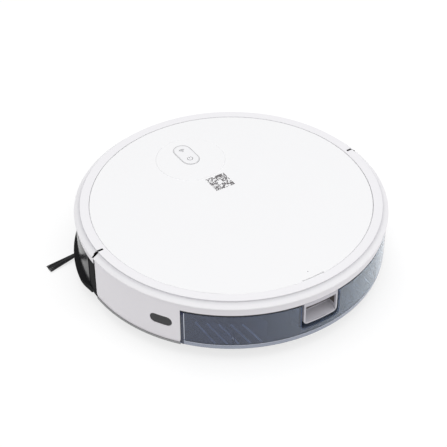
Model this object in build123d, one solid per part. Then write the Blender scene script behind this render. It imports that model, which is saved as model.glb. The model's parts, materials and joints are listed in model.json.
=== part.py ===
"""Round robot vacuum, built as a bench assembly of separate pieces.

Millimetres. The origin is on the floor under the body's axis, +Z is up, the bumper faces -Y and the
dust bin slides out towards +Y. The robot's left side is +X. Bearings are degrees from +X towards +Y.
The robot stands on its two drive wheels and the front caster, with both wheel arms at their upper stop.
"""

from build123d import *
import math
import os

# ---------------------------------------------------------------- driving dimensions
WALL_R = 161.0  # outer wall
RIM_R = 162.5  # edge of the top rim, which overhangs the wall
RIM_Z = 68.3  # height of that edge
RING_R = 156.0  # step between the flat top ring and the bevel
TOP_Z = 74.6  # flat top of the ring and the lid
LID_R = 146.3
BASE_Z = 8.0  # underside of the base
WALL_FOOT_Z = 15.0  # bottom edge of the side wall
BAND_Z = 59.6  # under this height the wall is open for the bin, and the bumper carries its window
SHELL = 2.2  # wall of the large mouldings
BASE_T = 2.4  # floor of the base
FIT = 0.3  # gap between fixed pieces that slide or drop in
RUNNING = 0.05  # radial clearance of a shaft in its bore
TOUCH = 0.02  # gap of a pressed or glued seat

# top plate and lid
PLATE_T = 1.8
LID_T = 2.4
RING_T = 1.3  # ring plate that the bumper's flange slides under
BEVEL_DROP = 1.6  # step from the ring down to the bevel
DOME_R, DOME_Y, DOME_H = 37.6, -80.0, 0.5  # raised round field on the lid
PILL_L, PILL_W, PILL_Y = 34.4, 17.4, -88.5  # button, long axis front to back
BUTTON_TRAVEL = 0.6
BUTTON_FIT = 0.2
DOT_R, DOT_Y = 0.8, 135.9
THUMB_HALF_ANGLE = 5.0
THUMB_DEPTH = 1.8

# bumper
BUMPER_TRAVEL = 2.2
BUMPER_GAP = 2.6  # between the bumper's ends and the rear wall
CARRIER_R = 157.0  # inner face of the bumper
CARRIER_T = 1.6
WINDOW_Z = 22.0
WINDOW_END_ANGLE = 5.5
LIP_R = 166.0
LIP_END_ANGLE = 4.0
LIP_TAPER_ANGLE = 10.5
FRONT_WALL_R = 148.2

# bin
BIN_HALF_W = 124.0
BIN_FRONT_Y = 64.0
BIN_FLOOR_Z = 16.5
BIN_WALL = 2.2
BIN_LID_T = 1.8
POCKET_HALF_W, POCKET_Z, POCKET_DEPTH = 22.1, 27.0, 17.0
LEVER_HALF_W, LEVER_Z, LEVER_DEPTH = 19.9, 32.8, 13.6
SCOOP_HALF_W, SCOOP_TOP_Z, SCOOP_DEPTH = 17.9, 55.0, 12.0
INLET_HALF_W, INLET_Z0, INLET_Z1 = 49.0, 20.5, 33.0
OUTLET_HALF_W, OUTLET_Z0, OUTLET_Z1 = 15.0, 46.0, 55.0
FILTER_HALF_W, FILTER_Z0, FILTER_Z1, FILTER_T = 57.0, 36.0, 57.0, 12.0

# side port
PORT_BEARING = 32.0
PORT_W, PORT_H, PORT_Z = 24.0, 11.2, 41.0
JACK_FACE, JACK_BACK, JACK_FLOOR = 3.6, 8.0, 1.2

# drive wheels
WHEEL_R, WHEEL_W, WHEEL_X, WHEEL_Y = 33.0, 17.0, 112.5, 4.0
HUB_R = WHEEL_R - 6.5
ARM_X0, ARM_X1 = 88.0, 101.5
PIVOT_Y, PIVOT_Z = -46.0, 40.0
PIVOT_R = 2.5
WELL_X0, WELL_X1, WELL_Y0, WELL_Y1 = 87.0, 123.5, -62.0, 42.0
WELL_INNER_X, WELL_INNER_Y = 62.0, 6.0
CASE_T = 1.6
CASE_TOP_Z = 69.0

# caster
CASTER_Y, CASTER_R, CASTER_W, CASTER_TRAIL = -118.0, 14.0, 17.0, 6.0
CUP_R, CUP_TOP_Z, STEM_R = 25.0, 31.5, 4.0

# side brushes
SPINNER_X, SPINNER_Y = 105.0, -85.7
SPINNER_REACH, SPINNER_HUB_R, SPINNER_PHASE = 72.0, 13.0, 3.6
SPINNER_SHAFT_R = 2.5
GEARBOX_X, GEARBOX_Y = 97.0, -80.0

# main roller
ROLLER_Y, ROLLER_Z, ROLLER_CORE_R, ROLLER_R, ROLLER_HALF_L = 38.0, 20.5, 8.5, 19.0, 74.0
TUNNEL_R, TUNNEL_HALF_L = 21.5, 77.0
TUNNEL_Y0, TUNNEL_Y1, TUNNEL_TOP_Z = 13.0, 60.2, 44.6

# inside
BATTERY = (80.0, 68.0, 23.0)
BATTERY_Y = -46.0
BOARD_HALF_W, BOARD_Y0, BOARD_Y1, BOARD_Z, BOARD_T = 58.0, -96.0, 0.0, 46.0, 1.6
POST_R = 3.5
FAN_Y, FAN_R, FAN_Z0, FAN_Z1 = 30.0, 28.0, 45.0, 64.0
SCREW_HEAD_R, SCREW_R = 2.9, 1.2
SCREW_PLACES = [(72.0, -120.0), (134.0, -12.0), (132.0, 50.0)]

MIRRORED = ((1, "left"), (-1, "right"))  # side of the robot, and its name


# ---------------------------------------------------------------- helpers
def block(x0, x1, y0, y1, z0, z1):
    """A box between two opposite corners."""
    return Pos((x0 + x1) / 2, (y0 + y1) / 2, (z0 + z1) / 2) * Box(x1 - x0, y1 - y0, z1 - z0)


def post(radius, z0, z1, x=0.0, y=0.0):
    """A round post along Z."""
    return Pos(x, y, (z0 + z1) / 2) * Cylinder(radius, z1 - z0)


def rod_x(radius, x0, x1, y, z):
    """A round rod along X."""
    return Pos((x0 + x1) / 2, y, z) * Rot(0, 90, 0) * Cylinder(radius, x1 - x0)


def outline(points, rounds=()):
    """A flat closed face, with some corners rounded: rounds holds (corner, radius) pairs."""
    face = make_face(Polyline(*points, close=True))
    for corner, radius in rounds:
        vertex = face.vertices().sort_by_distance((*corner, 0))[0]
        face = fillet(vertex, radius)
    return face


def ring(points, start=0.0, end=360.0, rounds=()):
    """Turns an outline of (radius, height) points about Z, from one bearing to another."""
    face = Plane.XZ * outline(points, rounds)
    return Rot(0, 0, start) * revolve(face, Axis.Z, end - start)


def pill(length, width, z0, z1, y):
    """A stadium-shaped plate, long along Y."""
    return Pos(0, y, z0) * extrude(Rot(0, 0, 90) * SlotOverall(length, width), z1 - z0)


def mirrored(shape):
    """The same piece on the robot's other side."""
    return mirror(shape, Plane.YZ)


def both_sides(shape):
    """A piece and its mirror image, as one group of solids."""
    return Compound(children=[*shape.solids(), *mirrored(shape).solids()])


def helix_spring(radius, wire, length, turns):
    """A coil along +Z from the origin."""
    path = Helix(length / turns, length, radius)
    section = Plane(path @ 0, z_dir=path % 0) * Circle(wire)
    return sweep(section, path, is_frenet=True)


# ---------------------------------------------------------------- shared outlines
def rim_points(inner_z):
    """Outer surface from the ring's step over the bevel to the wall, above inner_z."""
    return [(RING_R, TOP_Z - BEVEL_DROP), (RIM_R - 0.6, RIM_Z + 0.9), (RIM_R, RIM_Z),
            (WALL_R, RIM_Z - 0.9), (WALL_R, inner_z)]


def bin_plan(inset, z0, z1):
    """The bin's plan, taken in by inset all round: straight sides and front, round rear."""
    drum = post(WALL_R - 0.2 - inset, z0, z1)
    half = BIN_HALF_W - inset
    return drum & block(-half, half, BIN_FRONT_Y + inset, RIM_R + 10, z0, z1)


# ---------------------------------------------------------------- top
def make_lid():
    """Top panel: a disc with a raised round field, a hole for the button and a dot."""
    bottom = TOP_Z - LID_T
    lid = ring([(0, bottom), (LID_R, bottom), (LID_R, TOP_Z), (0, TOP_Z)], rounds=[((LID_R, TOP_Z), 0.7)])
    dome = Pos(0, DOME_Y, TOP_Z) * extrude(Circle(DOME_R), DOME_H, taper=60)
    lid += dome
    lid -= pill(PILL_L + 2 * BUTTON_FIT, PILL_W + 2 * BUTTON_FIT, bottom - 1, TOP_Z + 2, PILL_Y)
    flange_room = 1.6 + BUTTON_FIT
    lid -= pill(PILL_L + 2 * flange_room, PILL_W + 2 * flange_room, bottom - 1, bottom + 1.4, PILL_Y)
    lid -= post(DOT_R, TOP_Z - 1.2, TOP_Z + 1, y=DOT_Y)
    thumb = ring([(LID_R - THUMB_DEPTH, TOP_Z - 1.2), (LID_R + 2, TOP_Z - 1.2),
                  (LID_R + 2, TOP_Z + 1), (LID_R - THUMB_DEPTH, TOP_Z + 1)],
                 90 - THUMB_HALF_ANGLE, 90 + THUMB_HALF_ANGLE)
    return lid - thumb


def make_button():
    """Pill-shaped key with a retaining flange under the lid and a stem to its switch."""
    under = TOP_Z - LID_T
    key = pill(PILL_L, PILL_W, under + 0.9, TOP_Z + DOME_H + 0.2, PILL_Y)
    key += pill(PILL_L + 2.8, PILL_W + 2.8, under + 0.7, under + 1.2, PILL_Y)
    return key + post(2.5, under - 5.0, under + 0.9, y=PILL_Y)


def make_housing():
    """Upper housing: top plate and ring all round, and the outer wall of the rear half."""
    seat = TOP_Z - LID_T
    seat_r = LID_R + FIT
    plate = seat - PLATE_T
    ring_under = TOP_Z - RING_T
    front = ring([(0, plate), (FRONT_WALL_R, plate), (FRONT_WALL_R, ring_under), (RING_R, ring_under),
                  (RING_R, TOP_Z), (seat_r, TOP_Z), (seat_r, seat), (0, seat)], 180, 360)
    foot = WALL_FOOT_Z + 2.0
    rear = ring([(0, plate), (FRONT_WALL_R, plate), (RING_R - 2.5, plate), (WALL_R - SHELL, RIM_Z - 3.0),
                 (WALL_R - SHELL, 22.0), (WALL_R - SHELL - 1.0, foot), (WALL_R - 1.0, foot), (WALL_R, 22.0),
                 *reversed(rim_points(22.5)[:-1]), (RING_R, TOP_Z), (seat_r, TOP_Z), (seat_r, seat),
                 (0, seat)], 0, 180, rounds=[((RIM_R, RIM_Z), 0.5), ((WALL_R, 22.0), 6.0)])
    housing = front + rear
    side_gap = BIN_HALF_W + FIT * 2
    housing -= block(-side_gap, side_gap, BIN_FRONT_Y - 20, RIM_R + 5, foot - 5, BAND_Z + 0.4)
    housing -= pill(30.0, 12.0, plate - 1, seat + 1, PILL_Y)
    for side, _ in MIRRORED:
        ends = (side * (FRONT_WALL_R + 1.6), side * (RING_R + 1))
        housing -= block(min(ends), max(ends), -BUMPER_GAP, 0, ring_under - 1, TOP_Z + 1)
        for x, y in SCREW_PLACES:
            housing += post(4.2, BASE_Z + BASE_T, plate, side * x, y)
            housing -= post(SCREW_R + TOUCH, BASE_Z, 26.0, side * x, y)
    return housing - port_stadium(0.0, -6.0, 4.0)


# ---------------------------------------------------------------- side port
def port_frame():
    """Plane on the outer wall at the port, its x level along the wall and its z outwards."""
    bearing = math.radians(PORT_BEARING)
    outwards = Vector(math.cos(bearing), math.sin(bearing), 0)
    along = Vector(-math.sin(bearing), math.cos(bearing), 0)
    return Plane(origin=outwards * WALL_R + Vector(0, 0, PORT_Z), x_dir=along, z_dir=outwards)


def port_stadium(inset, depth0, depth1):
    """The port's stadium shape between two depths, measured outwards from the wall."""
    face = SlotOverall(PORT_W - 2 * inset, PORT_H - 2 * inset)
    return port_frame() * Pos(0, 0, depth0) * extrude(face, depth1 - depth0)


def make_port_cover():
    """Rubber flap that closes the port, flush with the wall."""
    flap = port_stadium(FIT, -2.6, 3.0)
    return flap & (post(WALL_R - 0.1, 20, 60) - post(WALL_R - 1.7, 20, 60))


def liner_outside():
    """How far the outer faces of the bin bay's side walls stand from the middle."""
    return BIN_HALF_W + FIT * 3 + CASE_T


def make_port_jack():
    """Charging jack behind the flap, held in a bezel that seats in the wall."""
    bezel = port_stadium(-1.0, -5.2, -2.8) & post(WALL_R - SHELL - TOUCH, 20, 60)
    bezel &= block(liner_outside() + FIT, RIM_R, 0, RIM_R, 20, 60)
    jack = port_frame() * Pos(0, 0, -(JACK_FACE + JACK_BACK) / 2) * Box(9, 8.6, JACK_BACK - JACK_FACE)
    jack += bezel
    bore = JACK_BACK - JACK_FLOOR
    jack -= port_frame() * Pos(0, 0, -bore / 2) * Cylinder(2.8, bore)
    pin = 3.2
    return jack + port_frame() * Pos(0, 0, pin / 2 - JACK_BACK) * Cylinder(1.0, pin)


# ---------------------------------------------------------------- base
def well(side, z0, z1, grow=0.0):
    """Room for a drive wheel and its arm: a deep part for the wheel and an inner part for the motor."""
    outer = block(WELL_X0 - grow, WELL_X1 + grow, WELL_Y0 - grow, WELL_Y1 + grow, z0, z1)
    inner = block(WELL_INNER_X - grow, WELL_X0, WELL_Y0 - grow, WELL_INNER_Y + grow, z0, z1)
    both = outer + inner
    return both if side > 0 else mirrored(both)


def cliff_places():
    """Centre and bearing of each cliff sensor under the front half."""
    return [(side * x, y, math.degrees(math.atan2(y, side * x)))
            for side, _ in MIRRORED for x, y in ((45.0, -132.0), (134.0, -42.0))]


def cliff_block(x, y, bearing, grow, z0, z1):
    """A sensor's rectangle, long along the rim."""
    return Pos(x, y, (z0 + z1) / 2) * Rot(0, 0, bearing) * Box(7 + 2 * grow, 16 + 2 * grow, z1 - z0)


def contact_block(grow, z0, z1):
    """A charging contact, on the robot's left."""
    return block(32 - grow, 46 + grow, -116 - grow, -108 + grow, z0, z1)


def battery_room(grow, z0, z1):
    """The battery's rectangle."""
    length, width, _ = BATTERY
    return block(-length / 2 - grow, length / 2 + grow, BATTERY_Y - width / 2 - grow,
                 BATTERY_Y + width / 2 + grow, z0, z1)


def make_base():
    """Base plate with its front wall, bays, posts and runners."""
    floor = BASE_Z + BASE_T
    wall_top = TOP_Z - LID_T - PLATE_T
    front_r = CARRIER_R - BUMPER_TRAVEL - 1.0
    front = ring([(0, BASE_Z), (front_r - 4.5, BASE_Z), (front_r, BASE_Z + 4.5), (front_r, floor + 4),
                  (FRONT_WALL_R, floor + 4), (FRONT_WALL_R, wall_top), (FRONT_WALL_R - SHELL, wall_top),
                  (FRONT_WALL_R - SHELL, floor), (0, floor)], 180, 360)
    edge = WALL_R - 3.5
    rear = ring([(0, BASE_Z), (edge - 7, BASE_Z), (edge, WALL_FOOT_Z), (WALL_R, WALL_FOOT_Z),
                 (WALL_R, WALL_FOOT_Z + 2), (edge - 2.6, WALL_FOOT_Z + 2), (edge - 8.6, floor), (0, floor)],
                0, 180)
    base = front + rear
    side_gap = BIN_HALF_W + FIT * 2
    bin_sweep = block(-side_gap, side_gap, BIN_FRONT_Y, RIM_R + 5, WALL_FOOT_Z - 2, 30)
    base -= bin_sweep - post(edge - 0.4, 0, 40)
    base -= block(-side_gap, side_gap, BIN_FRONT_Y, RIM_R + 5, BIN_FLOOR_Z - FIT, 30)
    for side, _ in MIRRORED:
        runner = block(68, 74, BIN_FRONT_Y + 4, 136, floor, BIN_FLOOR_Z - FIT)
        base += runner if side > 0 else mirrored(runner)
        base -= well(side, BASE_Z - 1, floor + 1)
        contact = contact_block(FIT, BASE_Z - 1, floor + 1)
        base -= contact if side > 0 else mirrored(contact)
        base -= post(6.0, BASE_Z - 1, floor + 1, side * SPINNER_X, SPINNER_Y)
        for y in (BOARD_Y0 + 5, BOARD_Y1 - 4):
            base += post(POST_R, floor, BOARD_Z, side * (BOARD_HALF_W - 4), y)
        for x, y in SCREW_PLACES:
            base -= post(SCREW_R + 0.4, BASE_Z - 1, floor + 1, side * x, y)
            base -= post(SCREW_HEAD_R + 0.2, BASE_Z - 1, BASE_Z + 1.4, side * x, y)
    for x, y, bearing in cliff_places():
        base -= cliff_block(x, y, bearing, FIT, BASE_Z - 1, floor + 1)
    base -= post(CUP_R + SHELL + FIT, BASE_Z - 1, floor + 1, y=CASTER_Y)
    base -= block(-TUNNEL_HALF_L, TUNNEL_HALF_L, TUNNEL_Y0 + 3, TUNNEL_Y1 - 0.6, BASE_Z - 1, floor + 1)
    bay = battery_room(4.0 + SHELL, floor, floor + 20) - battery_room(4.0, floor - 1, floor + 21)
    base += bay
    base -= battery_room(4.0, BASE_Z - 1, floor + 1)
    base += battery_room(4.0, floor - 1.0, floor) - battery_room(-2.0, floor - 2, floor + 1)
    for y in (BATTERY_Y - BATTERY[1] / 2 - 2.4, BATTERY_Y + BATTERY[1] / 2 + 2.4):
        base -= post(SCREW_R + TOUCH, BASE_Z - 1, floor + 8, y=y)
    return base


def make_battery_cover():
    """Cover under the battery, flush with the base and seated on a ledge inside its opening."""
    cover = battery_room(4.0 - FIT, BASE_Z, BASE_Z + BASE_T - 1.0)
    for y in (BATTERY_Y - BATTERY[1] / 2 - 2.4, BATTERY_Y + BATTERY[1] / 2 + 2.4):
        cover -= post(SCREW_R + 0.4, BASE_Z - 1, BASE_Z + BASE_T, y=y)
    return cover


def make_screws():
    """Base screws and the battery cover's two screws, as one group."""
    def screw(x, y, z, length):
        return post(SCREW_HEAD_R, z, z + 1.3, x, y) + post(SCREW_R, z, z + length, x, y)

    solids = [screw(side * x, y, BASE_Z + 0.1, 15.0) for side, _ in MIRRORED for x, y in SCREW_PLACES]
    for y in (BATTERY_Y - BATTERY[1] / 2 - 2.4, BATTERY_Y + BATTERY[1] / 2 + 2.4):
        solids.append(screw(0, y, BASE_Z - 1.3, 8.0))
    return Compound(children=[s.solid() for s in solids])


def make_battery():
    """Battery pack resting on the base's ledge."""
    return fillet(battery_room(0.0, BASE_Z + BASE_T + FIT, BASE_Z + BASE_T + FIT + BATTERY[2]).edges(), 1.2)


def make_board():
    """Main circuit board on four posts, with its larger parts as a group of solids."""
    board = block(-BOARD_HALF_W, BOARD_HALF_W, BOARD_Y0, BOARD_Y1, BOARD_Z, BOARD_Z + BOARD_T)
    top = BOARD_Z + BOARD_T
    parts = [block(-9, 9, -52, -34, top, top + 2.0), block(20, 32, -60, -48, top, top + 1.6),
             block(-50, -42, -80, -50, top, top + 7.0), block(42, 50, -40, -10, top, top + 7.0),
             post(4, top, top + 10, -25, -75), post(4, top, top + 10, -14, -75),
             post(3, top, top + 8, 12, -14)]
    return Compound(children=[board.solid(), *[p.solid() for p in parts]])


def make_button_board():
    """Small board under the button with its switch, hung from the top plate."""
    under = TOP_Z - LID_T - PLATE_T
    board = block(-16, 16, PILL_Y - 12, PILL_Y + 12, under - 7.6, under - 6.2)
    board += block(-3, 3, PILL_Y - 3, PILL_Y + 3, under - 6.2, under - 3.2 - BUTTON_TRAVEL - 0.2)
    for x, y in ((-12, -9), (12, -9), (-12, 9), (12, 9)):
        board += post(2.0, under - 7.0, under, x, PILL_Y + y)
    return board


# ---------------------------------------------------------------- bumper
def bumper_arc(points, end_angle, rounds=()):
    """An outline turned round the front, stopping end_angle short of each side."""
    return ring(points, 180 + end_angle, 360 - end_angle, rounds)


def ahead_of_gap(shape):
    """The part of a front piece that stands ahead of the gap at the bumper's ends."""
    reach = LIP_R + 10
    return shape & block(-reach, reach, -reach, -BUMPER_GAP, 0, 100)


def make_bumper_shell():
    """White bumper: a flange under the top ring, the bevel, the band and the carrier behind the window."""
    flange_z = TOP_Z - BEVEL_DROP
    carrier_out = CARRIER_R + CARRIER_T
    flange_r = FRONT_WALL_R + BUMPER_TRAVEL + 0.6
    points = [(flange_r, flange_z - 1.4), (flange_r, flange_z), (RING_R + 0.3, flange_z),
              *rim_points(BAND_Z)[1:], (carrier_out, BAND_Z), (carrier_out, 16.0), (CARRIER_R, 16.0),
              (CARRIER_R, RIM_Z - 2.0), (RING_R - 1.5, flange_z - 1.4)]
    return ahead_of_gap(bumper_arc(points, 0.0, rounds=[((RIM_R, RIM_Z), 0.5)]))


def make_bumper_window():
    """Glossy dark window round the bumper."""
    inner = CARRIER_R + CARRIER_T + TOUCH
    outer = WALL_R + 0.2
    return bumper_arc([(inner, WINDOW_Z), (outer, WINDOW_Z), (outer, BAND_Z - 0.2), (inner, BAND_Z - 0.2)],
                      WINDOW_END_ANGLE + 0.1)


def lip_point(radius, angle):
    """A point of the bumper's plan on the left, that many degrees ahead of its end."""
    turn = math.radians(angle)
    return (radius * math.cos(turn), -radius * math.sin(turn))


def make_bumper_lip():
    """Soft black lip along the bumper's foot, with a post at each end of the window."""
    inner = CARRIER_R + CARRIER_T + TOUCH
    foot = WALL_FOOT_Z - 0.4
    top = WINDOW_Z - 0.1
    bulge = bumper_arc([(inner, foot), (LIP_R - 1.5, foot), (LIP_R, foot + 2.0), (LIP_R, foot + 3.5),
                        (WALL_R + 0.4, top), (inner, top)], LIP_END_ANGLE,
                       rounds=[((LIP_R - 1.5, foot), 1.0), ((LIP_R, foot + 3.5), 1.5)])
    taper = extrude(outline([lip_point(LIP_R, LIP_TAPER_ANGLE), lip_point(WALL_R + 0.4, LIP_END_ANGLE),
                             (LIP_R + 5, 0), (LIP_R + 5, -40)]), 60)
    bulge -= taper + mirrored(taper)
    strip = bumper_arc([(inner, foot), (WALL_R - 1.2, foot), (WALL_R, foot + 3),
                        (WALL_R, top), (inner, top)], 0.0)
    lip = bulge + strip
    post_r = WALL_R - 0.3
    posts = ring([(inner, top - 1), (post_r, top - 1), (post_r, BAND_Z - 0.2), (inner, BAND_Z - 0.2)],
                 180, 180 + WINDOW_END_ANGLE)
    lip += posts + mirrored(posts)
    return ahead_of_gap(lip)


def make_bumper_switches():
    """Two switches on the front wall; the bumper stops just short of their bodies."""
    radius = FRONT_WALL_R + 0.05
    switch = Pos(radius + 2.5, 0, 42) * Box(5.0, 12, 7)
    flat = switch - post(FRONT_WALL_R + 0.05, 30, 60)
    return Compound(children=[(Rot(0, 0, bearing) * flat).solid() for bearing in (-125, -55)])


def make_bumper_springs():
    """Two coils between the front wall and the bumper."""
    start = math.sqrt(FRONT_WALL_R**2 - 40**2) + 0.9
    end = math.sqrt(CARRIER_R**2 - 40**2) - 1.6
    coil = Pos(40, -start, 34) * Rot(90, 0, 0) * helix_spring(3.6, 0.5, end - start, 3)
    return both_sides(coil)


# ---------------------------------------------------------------- bin
def pocket(grow, z0):
    """The recess at the back of the bin that the release lever sits in."""
    back = WALL_R - POCKET_DEPTH - grow
    half = POCKET_HALF_W + grow
    box = block(-half, half, back, RIM_R + 5, z0, BAND_Z + 5)
    corners = box.edges().filter_by(Axis.Y).group_by(Axis.Z)[0]
    return fillet(corners, 5.0 + grow)


def make_bin_tank():
    """Clear tank: floor, walls, the lever's recess, the inlet and the filter's outlet."""
    top = BAND_Z - BIN_LID_T
    tank = bin_plan(0.0, BIN_FLOOR_Z, top)
    outer_r = WALL_R - 0.2
    foot = WALL_FOOT_Z + 0.2
    skirt = ring([(outer_r - BIN_WALL, foot), (outer_r - 1.0, foot), (outer_r, foot + 5.8),
                  (outer_r, foot + 9), (outer_r - BIN_WALL, foot + 9)], 0, 180)
    tank += skirt & block(-BIN_HALF_W, BIN_HALF_W, BIN_FRONT_Y, RIM_R + 5, foot, foot + 9)
    tank -= ring([(outer_r - 1.0, foot - 4), (outer_r + 5, foot - 4), (outer_r + 5, foot + 5.8),
                  (outer_r, foot + 5.8), (outer_r - 1.0, foot)], 0, 180)
    hollow = bin_plan(BIN_WALL, BIN_FLOOR_Z + BIN_WALL, top + 1)
    hollow -= pocket(BIN_WALL, POCKET_Z - BIN_WALL)
    tank -= hollow
    tank -= pocket(0.0, POCKET_Z)
    front = (BIN_FRONT_Y - 1, BIN_FRONT_Y + BIN_WALL + 1)
    tank -= block(-INLET_HALF_W, INLET_HALF_W, *front, INLET_Z0, INLET_Z1)
    tank -= block(-FILTER_HALF_W + 4, FILTER_HALF_W - 4, *front, FILTER_Z0 + 3, FILTER_Z1 - 2)
    for side, _ in MIRRORED:
        for x in (30.0, 60.0, 90.0):
            rib = block(-0.7, 0.7, -22, 22, BIN_FLOOR_Z + 2, 40)
            rib = Pos(side * x, 122, 0) * Rot(0, 0, side * 24) * rib
            tank += rib & bin_plan(BIN_WALL - 0.5, BIN_FLOOR_Z, top)
    return tank


def make_bin_cover():
    """Top of the bin, seated on the tank's walls and open over the lever."""
    cover = bin_plan(0.4, BAND_Z - BIN_LID_T, BAND_Z)
    return cover - block(-POCKET_HALF_W, POCKET_HALF_W, WALL_R - POCKET_DEPTH, RIM_R + 5, 40, 70)


def make_filter_frame():
    """Frame of the filter cassette, against the tank's front wall."""
    y0 = BIN_FRONT_Y + BIN_WALL + TOUCH
    frame = block(-FILTER_HALF_W, FILTER_HALF_W, y0, y0 + FILTER_T, FILTER_Z0, FILTER_Z1)
    return frame - block(-FILTER_HALF_W + 3, FILTER_HALF_W - 3, y0 - 1, y0 + FILTER_T + 1,
                         FILTER_Z0 + 2, FILTER_Z1 - 2)


def make_filter_pleats():
    """Pleated filter paper inside the frame."""
    y0 = BIN_FRONT_Y + BIN_WALL + TOUCH + 1.5
    y1 = y0 + FILTER_T - 3.0
    half = FILTER_HALF_W - 3.0 - FIT
    folds = 20
    pitch = 2 * half / folds
    wall = 1.2
    front = [(-half + i * pitch, y1 if i % 2 else y0) for i in range(folds + 1)]
    back = [(x, y + wall) for x, y in reversed(front)]
    sheet = make_face(Polyline(*front, *back, close=True))
    return Pos(0, 0, FILTER_Z0 + 2 + FIT) * extrude(sheet, FILTER_Z1 - FILTER_Z0 - 4 - 2 * FIT)


def make_lever():
    """Release lever: a block with a finger scoop, flush with the bin's rear wall."""
    back = WALL_R - LEVER_DEPTH - 0.4
    top = BAND_Z - FIT
    body = block(-LEVER_HALF_W, LEVER_HALF_W, back, RIM_R + 5, LEVER_Z, top)
    body = fillet(body.edges().filter_by(Axis.Y).group_by(Axis.Z)[0], 4.5)
    body &= post(WALL_R - 0.4, 0, 80)
    deep = WALL_R - SCOOP_DEPTH
    section = Plane.YZ * outline([(RIM_R + 5, LEVER_Z + 1.6), (WALL_R - 1, LEVER_Z + 1.6),
                                  (deep, LEVER_Z + 5.8), (deep, SCOOP_TOP_Z), (RIM_R + 5, SCOOP_TOP_Z)])
    scoop = extrude(section, SCOOP_HALF_W, both=True)
    body -= scoop
    return body


def make_lever_springs():
    """Two coils under the lever, standing on the recess's floor."""
    length = LEVER_Z - POCKET_Z - 2.4
    coil = Pos(11, WALL_R - LEVER_DEPTH / 2 - 2, POCKET_Z + 1.2) * helix_spring(2.4, 0.4, length, 3)
    return both_sides(coil)


def make_inlet_flap():
    """Flap that hangs inside the inlet and keeps dust in."""
    y0 = BIN_FRONT_Y + BIN_WALL + FIT
    flap = block(-INLET_HALF_W - 2, INLET_HALF_W + 2, y0, y0 + 1.2, INLET_Z0 - 1, INLET_Z1 + 1.6)
    return flap + rod_x(1.0, -INLET_HALF_W - 4, INLET_HALF_W + 4, y0 + 1.0, INLET_Z1 + 1.6)


def make_bay_liner():
    """Walls and ceiling of the bay that the bin slides into, with the openings to brush and fan."""
    floor = BASE_Z + BASE_T
    outside = liner_outside()
    inside = outside - CASE_T
    top = BAND_Z + 0.4
    edge_r = WALL_R - SHELL - 1.0 - FIT
    shell = block(-outside, outside, BIN_FRONT_Y - 3.6, RIM_R, floor, top + CASE_T)
    shell -= block(-inside, inside, BIN_FRONT_Y - 2.0, RIM_R + 5, floor - 1, top)
    shell &= post(edge_r, floor, top + CASE_T)
    shell -= ring([(0, 0), (WALL_R, 0), (WALL_R, 18), (150.0, 18), (145.0, floor), (0, floor)], 0, 180)
    back = (BIN_FRONT_Y - 5, BIN_FRONT_Y - 1)
    shell -= block(-INLET_HALF_W, INLET_HALF_W, *back, INLET_Z0, INLET_Z1)
    shell -= block(-OUTLET_HALF_W, OUTLET_HALF_W, *back, OUTLET_Z0, OUTLET_Z1)
    for side, _ in MIRRORED:
        shell -= post(4.2 + FIT, 0, 80, side * 132.0, 50.0)
    return shell


# ---------------------------------------------------------------- brush and fan
def make_tunnel():
    """Housing over the main roller, with its mouth towards the bin."""
    floor = BASE_Z + BASE_T
    tunnel = block(-TUNNEL_HALF_L - 4, TUNNEL_HALF_L + 4, TUNNEL_Y0, TUNNEL_Y1, floor, TUNNEL_TOP_Z)
    tunnel -= rod_x(TUNNEL_R, -TUNNEL_HALF_L, TUNNEL_HALF_L, ROLLER_Y, ROLLER_Z)
    front, back = ROLLER_Y - TUNNEL_R, ROLLER_Y + TUNNEL_R
    tunnel -= block(-TUNNEL_HALF_L, TUNNEL_HALF_L, front, back, floor - 1, ROLLER_Z)
    tunnel -= block(-INLET_HALF_W, INLET_HALF_W, ROLLER_Y, TUNNEL_Y1 + 1, INLET_Z0, INLET_Z1)
    return tunnel - rod_x(3.0 + RUNNING, -TUNNEL_HALF_L - 9, TUNNEL_HALF_L + 9, ROLLER_Y, ROLLER_Z)


def make_roller_core():
    """Core of the main roller with a journal at each end."""
    core = rod_x(ROLLER_CORE_R, -ROLLER_HALF_L, ROLLER_HALF_L, ROLLER_Y, ROLLER_Z)
    core += rod_x(3.0, -TUNNEL_HALF_L - 3, TUNNEL_HALF_L + 3, ROLLER_Y, ROLLER_Z)
    for side, _ in MIRRORED:
        x0, x1 = side * (ROLLER_HALF_L - 3), side * ROLLER_HALF_L
        core += rod_x(ROLLER_CORE_R + 4, min(x0, x1), max(x0, x1), ROLLER_Y, ROLLER_Z)
    return core


def make_roller_bristles():
    """Envelope of the roller's bristles and blades."""
    half = ROLLER_HALF_L - 3.4
    sleeve = rod_x(ROLLER_R, -half, half, ROLLER_Y, ROLLER_Z)
    return sleeve - rod_x(ROLLER_CORE_R + TOUCH, -half - 1, half + 1, ROLLER_Y, ROLLER_Z)


def make_brush_guard():
    """Frame round the roller's opening, under the base."""
    outer = block(-84, 84, 9, 66, BASE_Z - 2, BASE_Z)
    outer = fillet(outer.edges().filter_by(Axis.Z), 4)
    guard = outer - block(-TUNNEL_HALF_L, TUNNEL_HALF_L, TUNNEL_Y0 + 4, TUNNEL_Y1 - 1, 0, 20)
    return guard - block(-TUNNEL_HALF_L, TUNNEL_HALF_L, 61.6, 63.4, 0, 20)


def make_wiper():
    """Rubber blade in the guard, behind the roller."""
    return block(-TUNNEL_HALF_L + 0.3, TUNNEL_HALF_L - 0.3, 61.8, 63.2, 2.5, BASE_Z)


def make_brush_drive():
    """Gearbox beside the roller with its motor above the tunnel."""
    x0 = -TUNNEL_HALF_L - 4
    box = block(x0 - 3.6, x0 - 0.1, 22, 58, 14, 62)
    motor = rod_x(8.0, x0 - 0.2, -46, 48, 54)
    return box + motor


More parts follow.
